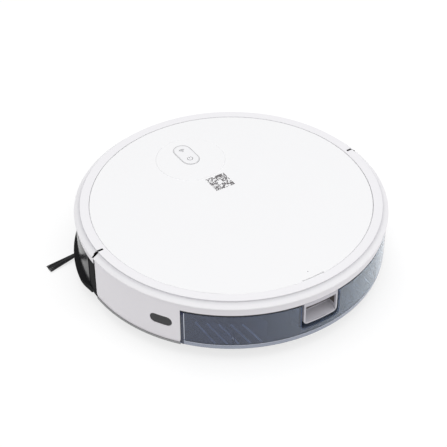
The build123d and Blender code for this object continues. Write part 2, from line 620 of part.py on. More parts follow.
def make_fan_housing():
    """Round fan housing above the tunnel, with its intake duct from the bin."""
    housing = post(FAN_R, FAN_Z0, FAN_Z1, y=FAN_Y)
    duct_y = BIN_FRONT_Y - 3.6 - FIT
    housing += block(-OUTLET_HALF_W - 2, OUTLET_HALF_W + 2, FAN_Y, duct_y, FAN_Z0, OUTLET_Z1 + 2)
    housing += block(FAN_R - 14, FAN_R + 12, FAN_Y - FAN_R, FAN_Y - FAN_R + 18, FAN_Z0, FAN_Z1)
    housing -= post(FAN_R - 2.0, FAN_Z0 + 2.0, FAN_Z1 - 2.0, y=FAN_Y)
    housing -= block(FAN_R - 16, FAN_R + 14, FAN_Y - FAN_R + 2, FAN_Y - FAN_R + 16, FAN_Z0 + 2, FAN_Z1 - 2)
    housing -= block(-OUTLET_HALF_W, OUTLET_HALF_W, FAN_Y + 10, duct_y + 1, OUTLET_Z0 + 1, OUTLET_Z1)
    return housing - post(10.5, FAN_Z1 - 3, FAN_Z1 + 1, y=FAN_Y)


def make_impeller():
    """Fan wheel on its shaft."""
    disc = post(FAN_R - 4, FAN_Z0 + 3, FAN_Z0 + 4.2, y=FAN_Y) + post(5, FAN_Z0 + 3, FAN_Z0 + 13, y=FAN_Y)
    for i in range(9):
        blade = block(-10, 10, -0.5, 0.5, FAN_Z0 + 4, FAN_Z0 + 12)
        disc += Pos(0, FAN_Y, 0) * Rot(0, 0, 40 * i) * Pos(13.5, 0, 0) * Rot(0, 0, 28) * blade
    disc &= post(FAN_R - 4, 0, 80, y=FAN_Y)
    return disc - post(1.5, 0, FAN_Z0 + 20, y=FAN_Y)


def make_fan_motor():
    """Fan motor in the housing's top, with its shaft down into the wheel."""
    motor = post(10.0, FAN_Z1 - 2.5, TOP_Z - LID_T - PLATE_T - FIT, y=FAN_Y)
    motor += post(12.0, FAN_Z1, FAN_Z1 + 1.5, y=FAN_Y)
    return motor + post(1.5 - RUNNING, FAN_Z0 + 5, FAN_Z1, y=FAN_Y)


# ---------------------------------------------------------------- drive wheels, made on the left
def make_wheel_case():
    """Case over a wheel well, with the boss that carries the arm's pivot."""
    floor = BASE_Z + BASE_T
    case = well(1, floor, CASE_TOP_Z, CASE_T)
    case -= well(1, floor - 1, CASE_TOP_Z - CASE_T)
    boss = rod_x(4.0, WELL_INNER_X - 0.5, ARM_X0 - 0.4, PIVOT_Y, PIVOT_Z)
    case += boss
    return case - rod_x(PIVOT_R + TOUCH, WELL_INNER_X + 4, ARM_X1, PIVOT_Y, PIVOT_Z)


def make_pivot_pin():
    """Pin from the case's boss through the arm."""
    return rod_x(PIVOT_R, WELL_INNER_X + 4.5, ARM_X1, PIVOT_Y, PIVOT_Z)


def make_arm():
    """Gearbox that swings on the pivot and carries the wheel."""
    eye = Pos(PIVOT_Y, PIVOT_Z) * Circle(9)
    head = Pos(WHEEL_Y, WHEEL_R) * Circle(15)
    plan = make_hull([*eye.edges(), *head.edges()])
    arm = Pos(ARM_X0, 0, 0) * extrude(Plane.YZ * plan, ARM_X1 - ARM_X0)
    arm = fillet(arm.edges().filter_by(GeomType.CIRCLE), 1.0)
    arm -= rod_x(PIVOT_R + RUNNING, ARM_X0 - 1, ARM_X1 + 1, PIVOT_Y, PIVOT_Z)
    return arm - rod_x(4.0 + RUNNING, ARM_X0 + 4, ARM_X1 + 1, WHEEL_Y, WHEEL_R)


def make_drive_motor():
    """Wheel motor on the arm's inner face."""
    motor = rod_x(11.0, WELL_INNER_X + 2, ARM_X0 - TOUCH, PIVOT_Y + 24, PIVOT_Z + 1)
    return motor + rod_x(3.0, WELL_INNER_X + 0.8, WELL_INNER_X + 3, PIVOT_Y + 24, PIVOT_Z + 1)


def make_arm_spring():
    """Torsion coil round the boss, pushing the arm down."""
    coil = helix_spring(5.6, 0.8, 15.0, 6)
    return Pos(ARM_X0 - 18.5, PIVOT_Y, PIVOT_Z) * Rot(0, 90, 0) * coil


def make_hub():
    """Wheel hub with its axle, five windows and a round cap."""
    x0, x1 = WHEEL_X - WHEEL_W / 2 + 0.5, WHEEL_X + WHEEL_W / 2 - 1.0
    hub = rod_x(HUB_R - TOUCH, x0, x1, WHEEL_Y, WHEEL_R)
    hub -= rod_x(HUB_R - 4, x1 - 5, x1 + 1, WHEEL_Y, WHEEL_R)
    hub += rod_x(9, x1 - 6, x1 - 0.6, WHEEL_Y, WHEEL_R)
    for i in range(5):
        spoke = Pos(x1 - 3, WHEEL_Y, WHEEL_R) * Rot(72 * i, 0, 0) * Pos(0, 0, 15.5) * Box(4, 5, 15)
        hub += spoke
    return hub + rod_x(4.0, ARM_X0 + 5, x0 + 1, WHEEL_Y, WHEEL_R)


def make_tyre():
    """Rubber tyre with two staggered rows of lugs."""
    x0, x1 = WHEEL_X - WHEEL_W / 2, WHEEL_X + WHEEL_W / 2
    tyre = rod_x(WHEEL_R - 1.8, x0, x1, WHEEL_Y, WHEEL_R)
    lugs = 24
    band = rod_x(WHEEL_R, x0, x1, WHEEL_Y, WHEEL_R)
    for i in range(lugs):
        for row in range(2):
            turn = 360 / lugs * (i + row / 2)
            x = WHEEL_X + (row - 0.5) * WHEEL_W / 2
            lug = Rot(turn, 0, 0) * Pos(0, 0, WHEEL_R - 1.5) * Box(WHEEL_W / 2, 5, 4)
            tyre += (Pos(x, WHEEL_Y, WHEEL_R) * lug) & band
    return tyre - rod_x(HUB_R, x0 - 1, x1 + 1, WHEEL_Y, WHEEL_R)


# ---------------------------------------------------------------- caster
def make_cup():
    """Socket that the caster turns in, seated on the base by its flange."""
    floor = BASE_Z + BASE_T
    cup = post(CUP_R + SHELL, BASE_Z + 0.2, CUP_TOP_Z + 2, y=CASTER_Y)
    flange = post(CUP_R + SHELL + 2.0, floor, floor + 2, y=CASTER_Y)
    cup += flange & post(FRONT_WALL_R - SHELL - FIT, floor, floor + 2)
    cup += post(8, CUP_TOP_Z, 44, y=CASTER_Y)
    cup -= post(CUP_R, 0, CUP_TOP_Z, y=CASTER_Y)
    return cup - post(STEM_R + RUNNING, 0, 50, y=CASTER_Y)


def make_fork():
    """Swivel fork: stem, plate and two cheeks."""
    wheel_y = CASTER_Y + CASTER_TRAIL
    top = CUP_TOP_Z - 0.4
    fork = post(STEM_R, top - 1, 45.5, y=CASTER_Y) + post(9, top - 2.2, top, y=CASTER_Y)
    plate = block(-11.5, 11.5, wheel_y - 9, wheel_y + 9, top - 6, top)
    wheel_room = rod_x(CASTER_R + 0.8, -9.2, 9.2, wheel_y, CASTER_R)
    cheeks = block(-11.5, 11.5, wheel_y - 7, wheel_y + 7, CASTER_R - 5, top)
    fork += (plate - wheel_room) + (cheeks - block(-9.2, 9.2, -200, 0, 0, 60))
    fork -= wheel_room
    return fork - rod_x(2.0 + TOUCH, -20, 20, wheel_y, CASTER_R)


def make_caster_axle():
    """Axle through the fork's cheeks."""
    return rod_x(2.0, -11.4, 11.4, CASTER_Y + CASTER_TRAIL, CASTER_R)


def make_caster_wheel():
    """Small wheel on the axle."""
    wheel = rod_x(CASTER_R, -CASTER_W / 2, CASTER_W / 2, CASTER_Y + CASTER_TRAIL, CASTER_R)
    wheel = fillet(wheel.edges(), 1.5)
    return wheel - rod_x(2.0 + RUNNING, -20, 20, CASTER_Y + CASTER_TRAIL, CASTER_R)


# ---------------------------------------------------------------- side brushes, made on the left
def make_spinner_hub():
    """Side brush hub with three flexible arms and the square drive's shaft."""
    hub = post(SPINNER_HUB_R, 3.6, 7.4, SPINNER_X, SPINNER_Y)
    hub = fillet(hub.edges(), 0.8)
    for i in range(3):
        arm = outline([(8, -4.5), (30, -2.2), (30, 2.2), (8, 4.5)])
        arm = extrude(Pos(0, 0, 3.9) * arm, 2.8)
        hub += Pos(SPINNER_X, SPINNER_Y, 0) * Rot(0, 0, SPINNER_PHASE + 120 * i) * arm
    return hub + post(SPINNER_SHAFT_R, 6.0, 20.0, SPINNER_X, SPINNER_Y)


def make_spinner_bristles():
    """Envelopes of the three bristle tufts, which fan out and slope to the floor."""
    root, reach = 30.1, SPINNER_REACH
    side = Plane.XZ * outline([(root, 3.8), (root, 6.4), (reach, 2.2), (reach - 0.6, 0.6)])
    slab = extrude(side, 8, both=True)
    fan = extrude(outline([(root, -1.8), (root, 1.8), (reach, 5.4), (reach, -5.4)]), 10)
    tuft = slab & fan
    hub = Pos(SPINNER_X, SPINNER_Y, 0)
    return Compound(children=[(hub * Rot(0, 0, SPINNER_PHASE + 120 * i) * tuft).solid() for i in range(3)])


def make_spinner_screw():
    """Screw under the side brush."""
    return post(3.4, 2.3, 3.6 - TOUCH, SPINNER_X, SPINNER_Y)


def make_spinner_motor():
    """Geared motor over a side brush, on the base."""
    floor = BASE_Z + BASE_T
    motor = post(15, floor, 26, GEARBOX_X, GEARBOX_Y) + post(10, 26, 50, GEARBOX_X, GEARBOX_Y)
    return motor - post(SPINNER_SHAFT_R + RUNNING, 0, 21, SPINNER_X, SPINNER_Y)


# ---------------------------------------------------------------- assembly
def assemble():
    """Every node by name, in the order that the robot goes together."""
    nodes = {
        "base_plate": make_base(),
        "upper_housing": make_housing(),
        "lid_panel": make_lid(),
        "power_button": make_button(),
        "button_board": make_button_board(),
        "bin_bay_liner": make_bay_liner(),
        "battery_cover": make_battery_cover(),
        "battery_pack": make_battery(),
        "main_board": make_board(),
        "screws": make_screws(),
        "bumper_shell": make_bumper_shell(),
        "bumper_window": make_bumper_window(),
        "bumper_lip": make_bumper_lip(),
        "bumper_switches": make_bumper_switches(),
        "bumper_springs": make_bumper_springs(),
        "bin_tank": make_bin_tank(),
        "bin_cover": make_bin_cover(),
        "filter_frame": make_filter_frame(),
        "filter_pleats": make_filter_pleats(),
        "release_lever": make_lever(),
        "lever_springs": make_lever_springs(),
        "inlet_flap": make_inlet_flap(),
        "brush_tunnel": make_tunnel(),
        "roller_core": make_roller_core(),
        "roller_bristles": make_roller_bristles(),
        "brush_guard": make_brush_guard(),
        "brush_wiper": make_wiper(),
        "brush_drive": make_brush_drive(),
        "fan_housing": make_fan_housing(),
        "fan_impeller": make_impeller(),
        "fan_motor": make_fan_motor(),
        "port_cover": make_port_cover(),
        "port_jack": make_port_jack(),
        "caster_cup": make_cup(),
        "caster_fork": make_fork(),
        "caster_axle": make_caster_axle(),
        "caster_wheel": make_caster_wheel(),
        "wheel_pivot_pins": both_sides(make_pivot_pin()),
        "charge_contacts": both_sides(contact_block(0.0, BASE_Z - 0.2, BASE_Z + BASE_T)),
        "cliff_windows": Compound(children=[cliff_block(*place, 0.0, BASE_Z + 0.1, 14.0).solid()
                                            for place in cliff_places()]),
    }
    sided = {
        "wheel_case": make_wheel_case(),
        "wheel_arm": make_arm(),
        "wheel_motor": make_drive_motor(),
        "wheel_arm_spring": make_arm_spring(),
        "wheel_hub": make_hub(),
        "wheel_tyre": make_tyre(),
        "side_brush_hub": make_spinner_hub(),
        "side_brush_bristles": make_spinner_bristles(),
        "side_brush_screw": make_spinner_screw(),
        "side_brush_motor": make_spinner_motor(),
    }
    for name, shape in sided.items():
        nodes[name + "_left"] = shape
        nodes[name + "_right"] = mirrored(shape)
    return nodes


os.makedirs("parts", exist_ok=True)
for node, shape in assemble().items():
    export_step(shape, f"parts/{node}.step")
    print(node, len(shape.solids()), round(shape.volume))
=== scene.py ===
# %% [markdown]
# # A round robot vacuum, finished in Blender
#
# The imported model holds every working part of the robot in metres, standing on its wheels with
# the bumper towards -Y and the dust bin towards +Y. This lesson gives each moulding its real
# finish and adds what a CAD solid can't show: bristles, printed signs, screw recesses.
# The frame itself is never moved, so every pose of the model still works afterwards.

# %% Load the frame
import json
import math

import bmesh
import bpy
from mathutils import Matrix, Vector


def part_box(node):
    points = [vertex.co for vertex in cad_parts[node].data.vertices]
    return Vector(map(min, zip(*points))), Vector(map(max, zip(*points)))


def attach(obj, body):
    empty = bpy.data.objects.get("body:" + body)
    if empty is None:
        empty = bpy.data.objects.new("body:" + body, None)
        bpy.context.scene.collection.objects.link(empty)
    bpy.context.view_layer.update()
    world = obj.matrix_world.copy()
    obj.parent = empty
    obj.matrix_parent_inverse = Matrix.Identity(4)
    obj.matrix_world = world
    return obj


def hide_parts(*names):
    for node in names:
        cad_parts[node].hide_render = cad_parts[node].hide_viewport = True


MM = 0.001
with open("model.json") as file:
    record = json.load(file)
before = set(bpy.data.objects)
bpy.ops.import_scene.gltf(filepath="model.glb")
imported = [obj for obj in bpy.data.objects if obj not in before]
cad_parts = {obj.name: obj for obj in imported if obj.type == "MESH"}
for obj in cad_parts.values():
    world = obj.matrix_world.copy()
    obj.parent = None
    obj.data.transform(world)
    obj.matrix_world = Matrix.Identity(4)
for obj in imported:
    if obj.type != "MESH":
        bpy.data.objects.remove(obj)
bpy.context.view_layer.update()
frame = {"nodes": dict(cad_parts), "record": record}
nodes = frame["nodes"]

# %% [markdown]
# ## Camera
#
# A long lens from behind and above, the usual product view. The camera looks at the middle of
# the top rim, and a small lens shift then places the robot in the frame without turning the view.

# %% Camera behind the robot's left shoulder
RIM_HEIGHT = 68.3 * MM
VIEW_DISTANCE = 1.4065
VIEW_AZIMUTH = math.radians(147.0)
VIEW_ELEVATION = math.radians(38.6)
SENSOR_WIDTH, LENS = 36, 109.4
LENS_SHIFT = (-0.0172, -0.0459)

aim = Vector((0, 0, RIM_HEIGHT))
back = Vector((math.sin(VIEW_AZIMUTH) * math.cos(VIEW_ELEVATION),
               -math.cos(VIEW_AZIMUTH) * math.cos(VIEW_ELEVATION),
               math.sin(VIEW_ELEVATION)))
camera = bpy.data.objects.new("camera", bpy.data.cameras.new("camera"))
bpy.context.scene.collection.objects.link(camera)
camera.location = aim + back * VIEW_DISTANCE
camera.rotation_euler = (-back).to_track_quat("-Z", "Y").to_euler()
camera.data.sensor_width, camera.data.lens = SENSOR_WIDTH, LENS
camera.data.shift_x, camera.data.shift_y = LENS_SHIFT
bpy.context.scene.camera = camera
print("camera at", [round(v, 3) for v in camera.location])

# %% [markdown]
# ## Studio
#
# White plastic on white paper only reads if the light has a direction. The world is a dome that is
# bright overhead and dimmer at the horizon, so the lid is the lightest face and the walls stay a
# shade darker. Two soft lamps then draw the bevel and put a long highlight on the clear bin.

# %% Lamps
LAMP_TARGET = Vector((0, 0, 30 * MM))


def lamp(name, place, size, power):
    """A soft square lamp that faces the robot."""
    light = bpy.data.lights.new(name, "AREA")
    light.shape, light.size, light.energy = "SQUARE", size, power
    made = bpy.data.objects.new(name, light)
    bpy.context.scene.collection.objects.link(made)
    made.location = place
    made.rotation_euler = (LAMP_TARGET - Vector(place)).to_track_quat("-Z", "Y").to_euler()


lamp("overhead", place=(0.2, 0.1, 1.9), size=1.6, power=8.5)
lamp("rear_right", place=(-1.4, 0.9, 0.5), size=0.9, power=3.0)
bpy.context.scene.view_settings.view_transform = "Standard"

# %% [markdown]
# ## A helper for node trees
#
# Shader trees and geometry trees are built the same way: add a node, set what is fixed, link what
# varies. One small helper does all three, so that each recipe below reads as a list of steps.

# %% Node helpers
def node(tree, kind, inputs=None, **settings):
    """Adds a node; an input is either a value or another node's output."""
    made = tree.nodes.new(kind)
    for key, value in settings.items():
        setattr(made, key, value)
    for key, value in (inputs or {}).items():
        if isinstance(value, bpy.types.NodeSocket):
            tree.links.new(value, made.inputs[key])
        else:
            made.inputs[key].default_value = value
    return made


def calc(tree, operation, a, b=0.0):
    """One step of arithmetic."""
    return node(tree, "ShaderNodeMath", {0: a, 1: b}, operation=operation).outputs[0]


def part_place(tree):
    """The shaded point's X, Y and Z in the part's own coordinates."""
    place = node(tree, "ShaderNodeTexCoord").outputs["Object"]
    return node(tree, "ShaderNodeSeparateXYZ", {0: place}).outputs


def from_axis(tree, spot):
    """How far a point lies from the robot's upright axis."""
    squares = calc(tree, "ADD", calc(tree, "POWER", spot["X"], 2.0), calc(tree, "POWER", spot["Y"], 2.0))
    return calc(tree, "SQRT", squares)


# %% The dome of light
HORIZON, ZENITH = 0.20, 1.16
DIM_BELOW, FULL_ABOVE = 0.08, 0.9
SKY_COLOUR = (0.992, 0.992, 1.0, 1)

world = bpy.data.worlds.new("studio")
bpy.context.scene.world = world
world.use_nodes = True
sky = world.node_tree
direction = node(sky, "ShaderNodeTexCoord").outputs["Generated"]
up = node(sky, "ShaderNodeSeparateXYZ", {0: direction}).outputs["Z"]
level = node(sky, "ShaderNodeMapRange", {"Value": up, "From Min": DIM_BELOW, "From Max": FULL_ABOVE,
                                         "To Min": HORIZON, "To Max": ZENITH})
sky.links.new(level.outputs["Result"], sky.nodes["Background"].inputs["Strength"])
sky.nodes["Background"].inputs["Color"].default_value = SKY_COLOUR

# %% [markdown]
# ## Moulded plastic
#
# No moulding is one flat colour. The resin has a slow drift in shade, the tool leaves a fine
# grain, and handling makes some patches glossier than others. Three noises at three sizes give
# those three effects, all in object coordinates, so they stay put when the part moves.

# %% The recipe for a moulded surface
GLOSS_PATCH = 9 * MM
GRAIN_DEPTH = 0.02 * MM
SMOOTHEST = 0.02
COAT_ROUGHNESS = 0.12


def surface(name, colour, rough=0.4, drift=0.03, grain=0.15, grain_mm=0.5, rough_spread=0.06,
            drift_mm=60.0, metallic=0.0, coat=0.0, transmission=0.0, ior=1.46, stretch=(1, 1, 1)):
    """A principled material with drifting shade, uneven gloss and a fine grain."""
    material = bpy.data.materials.new(name)
    material.use_nodes = True
    tree = material.node_tree
    shader = tree.nodes["Principled BSDF"]
    place = node(tree, "ShaderNodeTexCoord").outputs["Object"]
    slow = node(tree, "ShaderNodeTexNoise", {"Vector": place, "Scale": 1 / (drift_mm * MM), "Detail": 3.0})
    tint = node(tree, "ShaderNodeMix", {"Factor": slow.outputs["Fac"]}, data_type="RGBA")
    tint.inputs["A"].default_value = (*[c * (1 - drift) for c in colour], 1)
    tint.inputs["B"].default_value = (*[min(1, c * (1 + drift)) for c in colour], 1)
    tree.links.new(tint.outputs["Result"], shader.inputs["Base Color"])
    stretched = node(tree, "ShaderNodeMapping", {"Vector": place, "Scale": stretch}).outputs["Vector"]
    middle = node(tree, "ShaderNodeTexNoise", {"Vector": stretched, "Scale": 1 / GLOSS_PATCH, "Detail": 4.0})
    gloss = node(tree, "ShaderNodeMapRange", {"Value": middle.outputs["Fac"],
                                              "To Min": max(SMOOTHEST, rough - rough_spread),
                                              "To Max": min(1, rough + rough_spread)})
    tree.links.new(gloss.outputs["Result"], shader.inputs["Roughness"])
    fine = node(tree, "ShaderNodeTexNoise", {"Vector": stretched, "Scale": 1 / (grain_mm * MM),
                                             "Detail": 2.0})
    bump = node(tree, "ShaderNodeBump", {"Strength": grain, "Distance": GRAIN_DEPTH,
                                         "Height": fine.outputs["Fac"]})
    tree.links.new(bump.outputs["Normal"], shader.inputs["Normal"])
    shader.inputs["Metallic"].default_value = metallic
    shader.inputs["Coat Weight"].default_value = coat
    shader.inputs["Coat Roughness"].default_value = COAT_ROUGHNESS
    shader.inputs["Transmission Weight"].default_value = transmission
    shader.inputs["IOR"].default_value = ior
    return material


def between(material, part, first, second):
    """Multiplies a material's colour by a tint that runs from first to second as part goes 0 to 1."""
    tree = material.node_tree
    colour = tree.nodes["Principled BSDF"].inputs["Base Color"]
    before = colour.links[0].from_socket
    tint = node(tree, "ShaderNodeMix", {"Factor": part}, data_type="RGBA")
    tint.inputs["A"].default_value, tint.inputs["B"].default_value = (*first, 1), (*second, 1)
    both = node(tree, "ShaderNodeMix", {"Factor": 1.0}, data_type="RGBA", blend_type="MULTIPLY")
    tree.links.new(before, both.inputs["A"])
    tree.links.new(tint.outputs["Result"], both.inputs["B"])
    tree.links.new(both.outputs["Result"], colour)
    return material


# %% Finishes that change across the robot, with painted light and shade
RING_R = 155.9 * MM
# Over this span the painted shade at the ring's step fades out.
STEP_SHADE_SPAN = (156.0 * MM, 159.6 * MM)
BEVEL_FOOT = 67.5 * MM
# Span over which the base's outer rim turns pale: a painted highlight.
HIGHLIT_RIM = (155.5 * MM, 157.5 * MM)
# Across this span the bin goes from a darker left to a paler right: painted light.
PAINTED_LIGHT_SPAN = (85 * MM, -60 * MM)


def ramp(tree, value, span, **settings):
    """Runs from 0 to 1 while the value crosses the span."""
    return node(tree, "ShaderNodeMapRange", {"Value": value, "From Min": span[0], "From Max": span[1]},
                **settings).outputs["Result"]


def stepped_white(name, colour):
    """Satin white with painted shade: a soft line at the ring's step and a greyer wall below the bevel."""
    material = surface(name, colour, rough=0.34, drift=0.005, grain=0.04, rough_spread=0.015)
    tree = material.node_tree
    spot = part_place(tree)
    radius = from_axis(tree, spot)
    away = ramp(tree, radius, STEP_SHADE_SPAN, interpolation_type="SMOOTHSTEP")
    inside = calc(tree, "LESS_THAN", radius, RING_R)
    low = calc(tree, "LESS_THAN", spot["Z"], BEVEL_FOOT)
    unshaded = calc(tree, "MINIMUM", 1.0, calc(tree, "ADD", away, calc(tree, "ADD", inside, low)))
    # Painted shade: a soft dark line where the bevel meets the ring's step.
    between(material, unshaded, (0.84, 0.84, 0.85), (1, 1, 1))
    # Painted shade: the wall below the bevel is a little greyer than the top.
    return between(material, low, (1, 1, 1), (0.93, 0.915, 0.93))


def rimmed_base(name, inner, outer):
    """Dark base with a painted highlight: its outermost rim is paler where it meets the wall."""
    material = surface(name, (1, 1, 1), rough=0.5, drift=0.08, grain=0.6, grain_mm=0.7)
    tree = material.node_tree
    return between(material, ramp(tree, from_axis(tree, part_place(tree)), HIGHLIT_RIM), inner, outer)


def smoky_clear(name, left, right):
    """Clear smoky plastic with painted light: darker on the left, paler to the right where light falls."""
    material = surface(name, (1, 1, 1), rough=0.07, drift=0.03, grain=0.0, rough_spread=0.03,
                       transmission=0.88, ior=1.49)
    tree = material.node_tree
    return between(material, ramp(tree, part_place(tree)["X"], PAINTED_LIGHT_SPAN), left, right)


# %% [markdown]
# ## Floor
#
# The floor gives off a little light of its own, like a lit sweep table. It keeps the shadow
# under the robot pale and soft without washing out the shading on the robot itself.

# %% Floor
FLOOR_HALF = 9
PAPER_COLOUR, PAPER_GLOW = (0.30, 0.30, 0.30), 0.72

floor = bpy.data.objects.new("floor", bpy.data.meshes.new("floor"))
bpy.context.scene.collection.objects.link(floor)
corners = [(x * FLOOR_HALF, y * FLOOR_HALF, 0) for x, y in ((-1, -1), (1, -1), (1, 1), (-1, 1))]
floor.data.from_pydata(corners, [], [(0, 1, 2, 3)])
paper = surface("floor_paper", PAPER_COLOUR, rough=0.9, drift=0.004, grain=0.0, ior=1.02)
glow = paper.node_tree.nodes["Principled BSDF"]
glow.inputs["Emission Color"].default_value = (1, 1, 1, 1)
glow.inputs["Emission Strength"].default_value = PAPER_GLOW
floor.data.materials.append(paper)

# %% [markdown]
# ## One finish for each moulding
#
# The robot is made of few resins: a satin white for what is seen, a spark-eroded dark grey
# below, plain black inside, a polished dark one for the sensor window and a smoky clear one
# for the bin. Naming them once keeps the parts from drifting apart.

# %% Materials
finish = {
    "lid_white": surface("satin_white_lid", (0.86, 0.86, 0.865), rough=0.34, drift=0.004, grain=0.05,
                         rough_spread=0.015, coat=0.1),
    "housing_white": stepped_white("satin_white_housing", (0.82, 0.812, 0.83)),
    "window_black": surface("polished_sensor_window", (0.012, 0.012, 0.014), rough=0.18, drift=0.05,
                            grain=0.02, rough_spread=0.03, ior=1.24),
    "lip_black": surface("soft_black_rubber", (0.006, 0.006, 0.007), rough=0.7, drift=0.15, grain=0.4,
                         ior=1.2),
    # Darker left and paler right of the bin: painted light.
    "bin_smoke": smoky_clear("smoky_clear_bin", (0.29, 0.35, 0.53), (0.74, 0.86, 1.0)),
    "seal_black": surface("black_foam_seal", (0.004, 0.004, 0.004), rough=0.9, drift=0.2, grain=0.3,
                          ior=1.2),
    "bin_edge": surface("thick_smoky_edge", (0.016, 0.020, 0.060), rough=0.5, drift=0.1, grain=0.05,
                        ior=1.25),
    "bin_pocket_line": surface("blue_pocket_edge", (0.045, 0.075, 0.16), rough=0.25, drift=0.1, grain=0.05),
    "bin_rib": surface("pale_rib_painted_highlight", (0.92, 0.90, 0.84), rough=0.3, drift=0.12, grain=0.05),
    "bin_glint": surface("painted_highlight_edge", (0.66, 0.70, 0.80), rough=0.2, drift=0.12, grain=0.05),
    # Paler band on the bin's foot: partly its thick bottom edge, partly painted reflection.
    "bin_skirt": surface("bin_skirt_thick_edge_and_reflection", (0.30, 0.33, 0.41), rough=0.22, drift=0.08, grain=0.05),
    "recess_shade": surface("dark_recess_shade", (0.12, 0.107, 0.105), rough=0.8, drift=0.1, grain=0.2),
    "lever_grey": surface("fine_grey_lever", (0.52, 0.51, 0.55), rough=0.42, drift=0.02, grain=0.25),
    "button_white": surface("soft_white_button", (0.84, 0.84, 0.85), rough=0.35, drift=0.01, grain=0.12),
    "port_charcoal": surface("charcoal_port_rubber", (0.035, 0.035, 0.038), rough=0.6, drift=0.1,
                             grain=0.35),
    "base_grey": rimmed_base("eroded_dark_base", (0.055, 0.056, 0.06), (0.30, 0.30, 0.305)),
    "chassis_black": surface("plain_black_chassis", (0.025, 0.025, 0.027), rough=0.45, drift=0.1,
                             grain=0.3),
    "frame_grey": surface("plain_grey_frame", (0.14, 0.145, 0.155), rough=0.42, drift=0.05, grain=0.3),
    "tyre_rubber": surface("dusty_tyre_rubber", (0.022, 0.021, 0.020), rough=0.75, drift=0.3, grain=0.6,
                           drift_mm=8.0),
    "hub_grey": surface("gearbox_grey", (0.10, 0.105, 0.115), rough=0.4, drift=0.05, grain=0.3),
    "brush_black": surface("brush_hub_black", (0.018, 0.018, 0.02), rough=0.4, drift=0.1, grain=0.25),
    "bristle_dark": surface("black_nylon_bristle", (0.010, 0.010, 0.012), rough=0.35, drift=0.2, grain=0.1),
    "roller_bristle": surface("blue_nylon_bristle", (0.030, 0.050, 0.16), rough=0.4, drift=0.15, grain=0.1),
    "steel": surface("zinc_plated_steel", (0.56, 0.56, 0.57), rough=0.3, drift=0.06, grain=0.2,
                     metallic=1.0, grain_mm=0.2),
    "motor_can": surface("drawn_motor_can", (0.55, 0.55, 0.56), rough=0.35, drift=0.05, grain=0.3,
                         metallic=1.0, stretch=(1, 1, 0.08)),
    "contact_metal": surface("plated_contact", (0.75, 0.70, 0.58), rough=0.22, drift=0.05, grain=0.2,
                             metallic=1.0, stretch=(0.05, 1, 1)),
    "filter_paper": surface("pleated_filter_paper", (0.80, 0.80, 0.75), rough=0.9, drift=0.06, grain=0.8,
                            drift_mm=6.0),
    "board_green": surface("green_circuit_board", (0.02, 0.11, 0.045), rough=0.35, drift=0.3, grain=0.3,
                           drift_mm=3.0),
    "battery_wrap": surface("blue_battery_wrap", (0.03, 0.09, 0.26), rough=0.25, drift=0.08, grain=0.2,
                            coat=0.3),
    "lens_dark": surface("infrared_lens", (0.03, 0.006, 0.008), rough=0.08, drift=0.1, grain=0.02),
}
slot_of = {part["node"]: part["material_slot"] for part in frame["record"]["subparts"]}
for name, part in nodes.items():
    part.data.materials.clear()
    part.data.materials.append(finish[slot_of[name]])
print(len(finish), "finishes on", len(nodes), "nodes")

# %% [markdown]
# ## Growing a piece with geometry nodes
#
# Bristles, ribs, screws and printed squares are one small shape many times over. A geometry tree
# with named inputs places them by rule, and the same tree serves a left and a right piece, or a
# long row and a short one. The helper runs a tree on a set of points, turns the result into a
# plain mesh and takes the modifier off again, so nothing is left to drift.

# %% Helpers for geometry trees
SAME_POINT = 0.001 * MM


def new_tree(title, **sizes):
    """An empty geometry tree with named inputs; returns it with the sockets that carry them."""
    tree = bpy.data.node_groups.new(title, "GeometryNodeTree")
    tree.interface.new_socket("Points", in_out="INPUT", socket_type="NodeSocketGeometry")
    for name, value in sizes.items():
        kind = "NodeSocketInt" if isinstance(value, int) else "NodeSocketFloat"
        tree.interface.new_socket(name, in_out="INPUT", socket_type=kind).default_value = value
    tree.interface.new_socket("Geometry", in_out="OUTPUT", socket_type="NodeSocketGeometry")
    return tree, tree.nodes.new("NodeGroupInput").outputs


def metres(tree, size):
    """A length in metres from a named input in millimetres."""
    return calc(tree, "MULTIPLY", size, MM)


def close_tree(tree, geometry, material):
    """Ends a tree: real geometry, one material, and the group's output."""
    real = node(tree, "GeometryNodeRealizeInstances", {"Geometry": geometry}).outputs["Geometry"]
    painted = node(tree, "GeometryNodeSetMaterial", {"Geometry": real, "Material": material})
    node(tree, "NodeGroupOutput", {"Geometry": painted.outputs["Geometry"]})


def grow(name, tree, body, points=(), place=None, stands_for=(), **sizes):
    """Runs a tree on points and returns a plain piece that rides on a body."""
    piece = bpy.data.objects.new(name, bpy.data.meshes.new(name))
    bpy.context.scene.collection.objects.link(piece)
    piece.data.from_pydata([tuple(p) for p in points], [], [])
    modifier = piece.modifiers.new("grow", "NODES")
    modifier.node_group = tree
    for item in tree.interface.items_tree:
        if item.in_out == "INPUT" and item.name in sizes:
            modifier[item.identifier] = sizes[item.name]
    graph = bpy.context.evaluated_depsgraph_get()
    mesh = bpy.data.meshes.new_from_object(piece.evaluated_get(graph), depsgraph=graph)
    piece.modifiers.clear()
    piece.data = mesh
    mesh.name = name
    if place:
        mesh.transform(place)
    if stands_for:
        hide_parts(*stands_for)
    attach(piece, body)
    print(name, len(mesh.polygons), "faces")
    return piece


def built(name, body, vertices, faces, material):
    """A piece from points and faces, with outward faces, a material and a body to ride on."""
    mesh = bpy.data.meshes.new(name)
    mesh.from_pydata([tuple(v) for v in vertices], [], faces)
    work = bmesh.new()
    work.from_mesh(mesh)
    bmesh.ops.remove_doubles(work, verts=work.verts, dist=SAME_POINT)
    bmesh.ops.recalc_face_normals(work, faces=work.faces)
    work.to_mesh(mesh)
    work.free()
    piece = bpy.data.objects.new(name, mesh)
    bpy.context.scene.collection.objects.link(piece)
    mesh.materials.append(material)
    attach(piece, body)
    return piece


